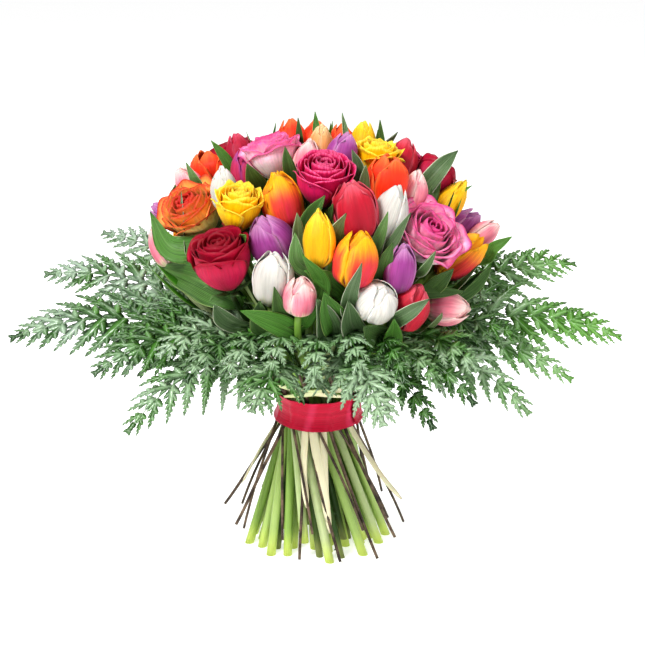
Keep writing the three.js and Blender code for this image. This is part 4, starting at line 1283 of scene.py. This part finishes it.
def leaflet_mesh(name):
    """One leaflet of a frond: a toothed outline, a raised rib and a flat back."""
    points = []
    pattern = []
    for x, half in LEAFLET_ROWS:
        points += [(x, -half, 0.0), (x, 0.0, 0.024 * (1 - x) + 0.01), (x, half, 0.0)]
        pattern += [(-1.0, x, 0.0), (0.0, x, 1.0), (1.0, x, 0.0)]
    tip = len(points)
    faces = []
    for a in range(0, tip - 3, 3):
        b = a + 3
        faces += [(a, b, b + 1, a + 1), (a + 1, b + 1, b + 2, a + 2), (a + 2, b + 2, b, a)]
    faces += [(b, tip, b + 1), (b + 1, tip, b + 2), (b + 2, tip, b), (0, 1, 2)]
    mesh = bpy.data.meshes.new(name)
    mesh.from_pydata([*points, (1.0, 0.0, 0.0)], [], faces)
    write_pattern(mesh, [*pattern, (0.0, 1.0, 1.0)])
    return mesh


class Growth(Nodes):
    """A Geometry Nodes tree with named inputs."""

    def __init__(self, name, sockets):
        super().__init__(bpy.data.node_groups.new(name, "GeometryNodeTree"))
        face = self.tree.interface
        face.new_socket("Geometry", in_out="INPUT", socket_type="NodeSocketGeometry")
        for socket, (kind, value) in sockets.items():
            face.new_socket(socket, in_out="INPUT", socket_type=kind).default_value = value
        face.new_socket("Geometry", in_out="OUTPUT", socket_type="NodeSocketGeometry")
        self.given = {socket.name: Value(self, socket) for socket in self.add("NodeGroupInput").outputs}

    def enabled(self, sockets, name):
        """The one socket of a name that the node's settings leave in use."""
        return next(socket for socket in sockets if socket.enabled and socket.name == name)

    def spread(self, low, high, seed):
        """A random number for each point."""
        node = self.add("FunctionNodeRandomValue", {"Seed": seed}, data_type="FLOAT")
        self.feed(self.enabled(node.inputs, "Min"), low)
        self.feed(self.enabled(node.inputs, "Max"), high)
        return Value(self, self.enabled(node.outputs, "Value"))

    def row(self, count, first, last):
        """Points along +X from first to last."""
        inputs = {"Count": count, "Start Location": self.vector(first), "Offset": self.vector(last)}
        return self.value("GeometryNodeMeshLine", inputs, "Mesh", mode="END_POINTS")

    def places(self):
        """The three parts of each point's place."""
        return self.split(self.value("GeometryNodeInputPosition"))

    def planted(self, points, instance, turn, size, seed, toss=(0.0, 0.0), pick=None):
        """Instances on points, turned about Z, tossed at random about their own length and width, and
        scaled."""
        tossed = [self.spread(-most, most, seed + 5 + i) for i, most in enumerate(toss)]
        rotation = self.value("FunctionNodeEulerToRotation", {0: self.vector(*tossed, turn)})
        size = self.vector(size, size, size)
        inputs = {"Points": points, "Instance": instance, "Rotation": rotation, "Scale": size}
        if pick:
            inputs |= {"Pick Instance": True, "Instance Index": pick}
        return self.value("GeometryNodeInstanceOnPoints", inputs, "Instances")

    def tinted(self, instances, seed):
        """Instances that each carry a random tint."""
        inputs = {"Geometry": instances, "Name": "tint"}
        node = self.add("GeometryNodeStoreNamedAttribute", inputs, data_type="FLOAT", domain="INSTANCE")
        self.feed(self.enabled(node.inputs, "Value"), self.spread(0.0, 1.0, seed))
        return Value(self, node.outputs["Geometry"])

    def moved(self, geometry, x, y, z=0.0):
        inputs = {"Geometry": geometry, "Position": self.vector(x, y, z)}
        return self.value("GeometryNodeSetPosition", inputs)

    def joined(self, *parts):
        node = self.add("GeometryNodeJoinGeometry")
        for part in reversed(parts):
            self.feed(node.inputs[0], part)
        return Value(self, node.outputs[0])

    def realized(self, geometry):
        return self.value("GeometryNodeRealizeInstances", {0: geometry})

    def as_one(self, geometry):
        return self.value("GeometryNodeGeometryToInstance", {0: geometry})

    def ended(self, geometry, material):
        inputs = {"Geometry": self.realized(geometry), "Material": material}
        painted = self.value("GeometryNodeSetMaterial", inputs)
        self.feed(self.add("NodeGroupOutput").inputs[0], painted)
        return self.tree


def feather(grow, leaflet, count, leafy, seed, forward):
    """One feather of a frond, one unit long: pairs of leaflets on a rib that shorten to its tip, with a
    blade that joins them at their feet, the whole bent forward."""
    x, y, z = grow.places()
    parts = []
    for sign, first in ((1, 0.06), (-1, 0.1)):
        points = grow.moved(grow.row(count, first, 0.95), x * (1.0 - x) * 0.55 + x, 0.0)
        whole = grow.given["Leaflet"] + grow.spread(-0.008, 0.008, seed)
        size = (1.04 - x) ** 0.72 * (whole * leafy)
        turn = sign * 50 * DEG + grow.spread(-0.07, 0.07, seed + 1) - x * (sign * 0.4)
        planted = grow.planted(points, leaflet, turn, size, seed + 10 + sign, (0.24, 0.14))
        parts.append(grow.tinted(planted, seed + 3 + sign))
    parts.append(grow.planted(grow.row(1, 0.93, 0.93), leaflet, 0.0, 0.1, seed))
    narrow = grow.vector(1.0, 0.19 * leafy, 0.5)
    blade = {"Points": grow.row(1, 0.0, 0.0), "Instance": leaflet, "Scale": narrow}
    parts.append(grow.tinted(grow.value("GeometryNodeInstanceOnPoints", blade, "Instances"), seed + 7))
    curve = grow.value("GeometryNodeMeshToCurve", {0: grow.row(6, 0.0, 0.97)})
    ring = grow.value("GeometryNodeCurvePrimitiveCircle", {"Resolution": 4, "Radius": 0.011})
    rib = {"Curve": curve, "Profile Curve": ring, "Fill Caps": True}
    parts.append(grow.value("GeometryNodeCurveToMesh", rib))
    whole = grow.realized(grow.joined(*parts))
    return grow.as_one(grow.moved(whole, x, x * x * (forward * 0.13) + y, x * x * -0.06 + z))


def frond_growth(material):
    """The tree that grows a flat frond along +X, in millimetres, from one leaflet. The feathers on each
    side bend towards the tip, and have fewer leaflets the nearer they are to it; the last ones are single
    leaflets."""
    numbers = {
        "Length": ("NodeSocketFloat", 220.0),
        "Half Width": ("NodeSocketFloat", 80.0),
        "Pairs": ("NodeSocketInt", 11),
        "Leaflet": ("NodeSocketFloat", 0.16),
        "Seed": ("NodeSocketInt", 0),
    }
    grow = Growth("frond", numbers)
    length = grow.given["Length"]
    leaflet = grow.given["Geometry"]
    seed = grow.given["Seed"]
    x = grow.places()[0]
    parts = []
    for sign, first in ((1, 0.03), (-1, 0.065)):
        kinds = [feather(grow, leaflet, *stage, 11 * stage[0] + sign, -sign) for stage in FEATHER_STAGES]
        choice = grow.joined(*kinds, grow.as_one(leaflet))
        points = grow.row(grow.given["Pairs"], first, 0.985)
        points = grow.moved(points, (x * (1.0 - x) * 0.42 + x) * length, 0.0)
        share = x / length
        widest = grow.math("MINIMUM", (1.0 - share) ** 0.8, share * 1.7 + 0.42)
        reach = (grow.given["Half Width"] * widest + 4.5) * grow.spread(0.97, 1.1, seed)
        turn = share * (-sign * 0.45) + sign * 68 * DEG + grow.spread(-0.08, 0.08, seed)
        stage = grow.math("MINIMUM", grow.math("MAXIMUM", share * 4.8 - 0.6, 0.0), 4.0)
        pick = grow.value("FunctionNodeFloatToInt", {0: stage}, rounding_mode="FLOOR")
        parts.append(grow.planted(points, choice, turn, reach, 70 + sign, (0.12, 0.06), pick))
    parts.append(grow.planted(grow.row(1, length * 0.96, 0.0), leaflet, 0.0, 9.0, 90))
    return grow.ended(grow.joined(*parts), material)


def grown(growth, seedling, sizes):
    """The mesh that a tree grows from a seedling mesh with the given sizes."""
    thing = bpy.data.objects.new("seedling", seedling)
    bpy.context.scene.collection.objects.link(thing)
    modifier = thing.modifiers.new("growth", "NODES")
    modifier.node_group = growth
    for socket in growth.interface.items_tree:
        if socket.in_out == "INPUT" and socket.name in sizes:
            modifier[socket.identifier] = sizes[socket.name]
    bpy.context.view_layer.update()
    live = thing.evaluated_get(bpy.context.evaluated_depsgraph_get())
    mesh = bpy.data.meshes.new_from_object(live)
    thing.modifiers.remove(modifier)
    bpy.data.objects.remove(thing)
    return mesh


def values_of(mesh, name, key, width):
    """The values of a mesh's attribute, a row for each point."""
    values = np.empty(len(mesh.vertices) * width, np.float32)
    mesh.attributes[name].data.foreach_get(key, values)
    return values.reshape(-1, width)


class Frond:
    """A frond on its arch, with its stalk. Each place on its flat blade has one on the arched, sagging,
    rolled blade."""

    def __init__(self, slot, tip, arch, half):
        tip = vec(*tip)
        self.half = half
        self.outward = unit(flat_part(tip))
        rising = slot + self.outward * (2 - 9 * self.outward[1])
        rising[2] = TIE_HEIGHT + 46
        bowed = tip + (slot - tip) * 0.52
        bowed[2] = tip[2] + arch
        self.controls = [slot, rising, bowed, tip]
        line = bezier(self.controls, np.linspace(0, 1, 201))
        self.length = np.linalg.norm(np.diff(line, axis=0), axis=1).sum() * (1 - FROND_BEGIN)

    def middle(self, x, y):
        """The place of the flat blade's point (x, y)."""
        share = np.clip(x / self.length, 0, 1)
        t = FROND_BEGIN + (1 - FROND_BEGIN) * share
        tangent = bezier_tangent(self.controls, t)
        side = turned(unit(np.cross(UP, tangent)), tangent, FROND_ROLL * self.outward[0])
        over = np.cross(tangent, side)
        sag = (FROND_SAG * y * y / self.half)[..., None]
        point = bezier(self.controls, t) + side * y[..., None] - over * sag
        return bent_clear(point + tangent * (x - share * self.length)[..., None], 2)

    def placed(self, flat):
        """Points of the flat blade, with their heights over it, carried onto the real one."""
        x, y, z = flat.T
        along = self.middle(x + 0.5, y) - self.middle(x - 0.5, y)
        beside = self.middle(x, y + 0.5) - self.middle(x, y - 0.5)
        return self.middle(x, y) + unit(np.cross(along, beside)) * z[..., None]

    def stalk(self):
        """The rib from the tie to the tip."""
        t = np.linspace(0, 1, 30)
        reached = np.clip((t - FROND_BEGIN) / (1 - FROND_BEGIN), 0, 1) * self.length
        blade = self.middle(reached, np.zeros_like(reached))
        return np.where((t > FROND_BEGIN)[:, None], blade, bezier(self.controls, t))


def add_frond(shape, growth, seedling, frond, chance):
    """A leafy blade on a stalk that is brown below it and green within it."""
    sizes = {
        "Length": float(frond.length),
        "Half Width": float(frond.half),
        "Pairs": int(round(frond.length / PAIR_PITCH)),
        "Leaflet": 0.215 if frond.half > 60 else 0.25,
        "Seed": int(chance.integers(999)),
    }
    leafy = grown(growth, seedling, sizes)
    flat = values_of(leafy, "position", "vector", 3) * vec(1, 1, LEAFLET_RISE)
    pattern = values_of(leafy, "pattern", "vector", 3)
    pattern[:, 2] = chance.random()
    tint = values_of(leafy, "tint", "value", 1)[:, 0]
    shape.add(frond.placed(flat), [list(face.vertices) for face in leafy.polygons], pattern, tint)
    bpy.data.meshes.remove(leafy)
    path = frond.stalk()
    radii = profile(len(path), [0, 0.34, 0.8, 1], [STALK_RADIUS, 1.2, 0.7, 0.4])
    leafy_from = int(len(path) * (FROND_BEGIN + 0.04))
    shape.tube(path[: leafy_from + 1], radii[: leafy_from + 1], 8, 0.3, slot=1)
    shape.tube(path[leafy_from:], radii[leafy_from:] * 0.9, 7, 0.45)


def loose_path(turn, foot_turn, reach, height, bow, sway=0.0):
    """A path from the tie down under the ribbon and out to a foot, which bows and sways on its way."""
    steps = np.linspace(0, 1, 26)
    t = steps[:, None]
    start = vec(math.cos(turn * DEG), math.sin(turn * DEG), 0)
    end = vec(math.cos(foot_turn * DEG), math.sin(foot_turn * DEG), 0)
    top = start * (STALK_RING - 3) + UP * TIE_HEIGHT
    foot = end * reach + UP * height
    under = start * STALK_RING + UP * (TIE_HEIGHT - 26)
    bowing = np.sin(math.pi * t**1.7) ** 2 * bow * start
    swaying = np.sin(2 * math.pi * t) * t * sway * np.cross(UP, start)
    return bezier([top, under, foot], steps) + bowing + swaying


def frond_node(name, growth, seedling, finishes):
    """The fronds and sprigs of one node, whose stalks run through the tie together and are cut below it,
    and the loose stalks beside them."""
    fronds = FROND_NODES[name] + [row for node, *row in SPRIGS if node == name]
    outward = sum(unit(flat_part(vec(*tip))) for tip, _, _ in FROND_NODES[name])
    slot = unit(outward) * STALK_RING + UP * TIE_HEIGHT
    shape = Shape()
    for i, row in enumerate(fronds):
        add_frond(shape, growth, seedling, Frond(slot, *row), seeded(name, i))
    for node, *course in LOOSE_STALKS:
        if node == name:
            path = loose_path(*course)
            shape.tube(path, np.linspace(1.9, 1.5, len(path)), 9, 0.3, slot=1)
    foot = below_tie(slot, 8 + 30 * abs(math.sin(slot[0] + slot[1])), STALK_SPREAD)
    bow = turned(unit(flat_part(slot)), UP, 1.2) * 5
    t = np.linspace(0, 1, 12)[:, None]
    path = foot + (slot + UP * 2 - foot) * t + bow * np.sin(math.pi * t) * (1 - t)
    shape.tube(path, STALK_RADIUS * np.linspace(0.85, 1, 12), 9, 0.3, slot=1)
    return shape.piece(name + "_fronds", *finishes)


# ---------------------------------------------------------------- ribbon


def ribbon_band(finish):
    """The ribbon: drawn in at its middle, with pleats that run round it, and its end lapped over at the
    right."""
    chance = seeded("ribbon")
    along, across = np.meshgrid(np.linspace(0, 1, 260), np.linspace(-1, 1, 33), indexing="ij")
    turn = (LAP_ARC / 2 - 6 * DEG) - along * RIBBON_TURNS * 2 * math.pi
    high = across * RIBBON_WIDTH / 2
    lap = ramp(along, 0.84, 0.93)
    out = RIBBON_WAIST + 0.5 + RIBBON_FLARE * across**2 + 1.3 * lap + 1.6 * ramp(along, 0.95, 1.0)
    for _ in range(7):
        where = chance.uniform(0, 2 * math.pi)
        at = chance.uniform(-0.8, 0.8)
        drift = chance.uniform(-0.25, 0.25)
        wide = chance.uniform(0.1, 0.22)
        reach = np.exp(-(((np.cos(turn - where) - 1) / 0.9) ** 2))
        out = out + 0.9 * reach * np.exp(-(((across - at - drift * np.sin(turn - where)) / wide) ** 2))
    for fold in RIBBON_FOLDS:
        near = np.abs((turn / DEG - fold + 180) % 360 - 180)
        out = out + 1.1 * np.exp(-((near / (4 + 2 * across)) ** 2)) * (1 - 0.4 * across**2)
    grid = np.stack([out * np.cos(turn), out * np.sin(turn), high * (1 - 0.05 * lap)], -1)
    grid = turned(grid, vec(1, 0, 0), RIBBON_TILT) + UP * TIE_HEIGHT
    points, faces, pattern = closed_sheet(grid, RIBBON_THICKNESS)
    shape = Shape()
    shape.add(points, [face[::-1] for face in faces], pattern, 0.5)
    return shape.piece("ribbon_satin", finish)


# ---------------------------------------------------------------- the bouquet


def stems_piece(name, kind, finish):
    shape = Shape()
    for i, stem in enumerate(stems):
        if stem.flower.kind != kind:
            continue
        chance = seeded(name, i)
        path = stem.path()
        swell = 1 + 0.05 * np.sin(np.linspace(0, 9, len(path)) + chance.uniform(0, 6))
        taper = profile(len(path), [0, 0.4, 1], [1.12, 1.0, 0.86])
        shape.tube(path, stem.radius * swell * taper, 12, chance.random(), level=True)
        if kind == "rose":
            thorns(shape, path, stem.radius, chance)
    return shape.piece(name, finish)


def leaf_feet(finish):
    """The pale feet of leaves below the tie, which narrow to a blunt end, and the pale leaves across it
    above."""
    shape = Shape()
    across, along = sheet_places(9, 26)
    shares = through(along[:, 0], [0, 0.35, 0.8, 0.94, 1], [0.9, 1.0, 0.85, 0.75, 0.4])[:, None]
    for turn, foot_turn, reach, height, width, sway in LEAF_FEET:
        path = loose_path(turn, foot_turn, reach, height, 3, sway)
        out = unit(flat_part(path))
        tangent = unit(np.gradient(path, axis=0))
        side = unit(np.cross(out, tangent))
        half = width / 2 * shares
        hollow = 0.3 * half * (1 - across**2)
        shape.sheet(strip(path, side, half * across) + out[:, None] * hollow[..., None], 1.8, 0.9)
    for start, end, width in CROSSING_LEAVES:
        start = vec(*start)
        end = vec(*end)
        bowed = (start + end) / 2 * vec(1.5, 1.5, 1) + UP * 2
        path = bezier([start, bowed, end], along[:, 0])
        half = width / 2 * np.sin(math.pi * np.linspace(0.08, 0.97, len(path)))[:, None] ** 0.5
        lean = unit(path * vec(0.1, 0.1, 0) + UP * 8)
        shape.sheet(strip(path, lean, half * across), 1.2, 0.4)
    return shape.piece("leaf_feet", finish)


def thorns(shape, path, radius, chance):
    """A few hooked thorns up a rose stem."""
    for _ in range(5):
        at = chance.uniform(0.02, 0.7) * (len(path) - 1)
        i = int(at)
        point = path[i] + (path[i + 1] - path[i]) * (at - i)
        along = unit(path[i + 1] - path[i])
        outward = turned(unit(np.cross(along, INTO_PICTURE)), along, chance.uniform(0, 6.28))
        rise = np.linspace(0, 1, 5)[:, None]
        line = point + outward * (radius * 0.7 + rise * 4.2) - along * rise**2 * 1.6
        shape.tube(line, 1.4 * (1 - rise[:, 0]) + 0.12, 6, 0.5)


def stand_for(thing, node):
    """Hides the solid of the node that a piece stands for, and sets the piece on the bouquet's one body."""
    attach(thing, "root")
    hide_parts(node)


def dress_blooms():
    green = leaf_finish("sepal_green", "#3f6a30", "#5c8a3c", "#7f9d6a", "#5a8040", 0.1)
    pollen = plain_finish("anther_dark", "#2c2030", "#5a4a2c", 900.0, 0.8)
    pistil = plain_finish("pistil_pale", "#c9cf86", "#dfe0a6", 500.0, 0.6)
    petals = {slot: petal_finish(slot, *row) for slot, row in PETAL_FINISHES.items()}
    for name in dict.fromkeys(flower.name for flower in flowers):
        members = [flower for flower in flowers if flower.name == name]
        kind = members[0].kind
        slot = f"{kind}_{members[0].colour}"
        shape = Shape()
        for i, flower in enumerate(members):
            (rose if kind == "rose" else tulip)(shape, flower, i)
        extras = [green] if kind == "rose" else [pollen, pistil]
        stand_for(shape.piece(name + "_bloom", petals[slot], *extras), name)


def dress_stems_and_leaves():
    tulip_green = stem_finish("tulip_stem", "#c6d866", "#b3cc7a", "#7fa548", "#9aba62", "#dfe3ba")
    rose_green = stem_finish("rose_stem", "#7f8a48", "#3f5f26", "#355423", "#5e4028", "#6a5432")
    foot_pale = stem_finish("leaf_foot", "#c3d48c", "#cddb9a", "#e6e2ba", "#ecd0a4", "#efe6c8")
    leaf_green = leaf_finish("leaf_green", "#184406", "#458c10", "#74945a", "#a0ba70", 0.08)
    leaf_edged = leaf_finish("leaf_pale_edged", "#26520e", "#528c20", "#8fa680", "#e6ead0", 0.12)
    shape = Shape()
    for i, leaf in enumerate(leaves):
        leaf_blade(shape, leaf, i)
    parts = [
        stems_piece("tulip_stems", "tulip", tulip_green),
        stems_piece("rose_stems", "rose", rose_green),
        shape.piece("tulip_leaves", leaf_green, leaf_edged),
        leaf_feet(foot_pale),
    ]
    for thing in parts:
        stand_for(thing, "stems_and_leaves")


def dress_ferns():
    frond_green = fern_finish("frond_green", "#153c0b", "#609c38", "#abc2a4", "#6cac34", "#a6b8a8")
    stalk_brown = bark_finish("stalk_brown", "#33261f", "#7a6552")
    growth = frond_growth(frond_green)
    seedling = leaflet_mesh("leaflet")
    for name in FROND_NODES:
        stand_for(frond_node(name, growth, seedling, (frond_green, stalk_brown)), name)


def dress_ribbon():
    ribbon = ribbon_band(satin_finish("ribbon_satin", "#b6002e", "#d2003c", "#f04876", "#a00030"))
    stand_for(ribbon, "ribbon")
    length = 2 * math.pi * (RIBBON_WAIST + 2) * RIBBON_TURNS
    length * MM


# ---------------------------------------------------------------- floor, light and camera


def floor():
    """A white floor that glows a little, so that it runs into the white backdrop."""
    size = 12.0
    mesh = bpy.data.meshes.new("floor")
    corners = [(-size, -size, 0), (size, -size, 0), (size, size, 0), (-size, size, 0)]
    mesh.from_pydata(corners, [], [(0, 1, 2, 3)])
    grey = (0.85, 0.85, 0.85, 1)
    white = Finish("floor_white").finished(grey, 0.7, emission_color=(1, 1, 1, 1), emission_strength=0.53)
    piece("floor", mesh, white)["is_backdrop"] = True


def softbox(name, place, aim, size, power):
    """A round lamp, placed and aimed in metres."""
    lamp = bpy.data.lights.new(name, "AREA")
    lamp.shape = "DISK"
    lamp.size = size
    lamp.energy = power
    thing = bpy.data.objects.new(name, lamp)
    bpy.context.scene.collection.objects.link(thing)
    thing.location = place
    direction = Vector(aim) - Vector(place)
    thing.rotation_euler = direction.to_track_quat("-Z", "Y").to_euler()


def lights():
    """A white backdrop that lights the bouquet less than it shows, and three soft lamps."""
    world = bpy.data.worlds.new("studio")
    bpy.context.scene.world = world
    world.use_nodes = True
    sky = Nodes(world.node_tree)
    seen = sky.value("ShaderNodeLightPath", out="Is Camera Ray")
    backdrop = world.node_tree.nodes["Background"].inputs
    sky.feed(backdrop["Color"], (1, 1, 1, 1))
    sky.feed(backdrop["Strength"], seen * 0.72 + 0.33)
    softbox("key", (-1.1, -1.5, 2.0), (0, 0, 0.25), 0.8, 56)
    softbox("fill", (1.8, -1.2, 1.1), (0, 0, 0.25), 1.6, 12)
    softbox("top", (0.2, 0.9, 2.2), (0, 0, 0.2), 1.2, 20)


def camera():
    """The eye, whose picture is 645 mm wide at the bouquet, as the photograph is at its scale."""
    lens = bpy.data.cameras.new("camera")
    lens.sensor_width = 36
    lens.lens = lens.sensor_width * EYE_DISTANCE / PICTURE_WIDTH
    thing = bpy.data.objects.new("camera", lens)
    bpy.context.scene.collection.objects.link(thing)
    thing.location = EYE * MM
    thing.rotation_euler = Vector(LOOKING).to_track_quat("-Z", "Y").to_euler()
    bpy.context.scene.camera = thing


def write_sizes():
    """Puts the boxes of the solids and of the dressed bouquet, in metres, into lines of JSON, which are not
    kept.
    """
    boxes = [[list(map(float, corner)) for corner in box] for box in (cad_box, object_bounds())]
    "\n".join(json.dumps(box) for box in boxes)


camera()
lights()
floor()
dress_blooms()
dress_stems_and_leaves()
dress_ferns()
dress_ribbon()
bpy.context.scene.view_settings.view_transform = "Standard"
bpy.context.scene.view_settings.look = "Medium High Contrast"
write_sizes()
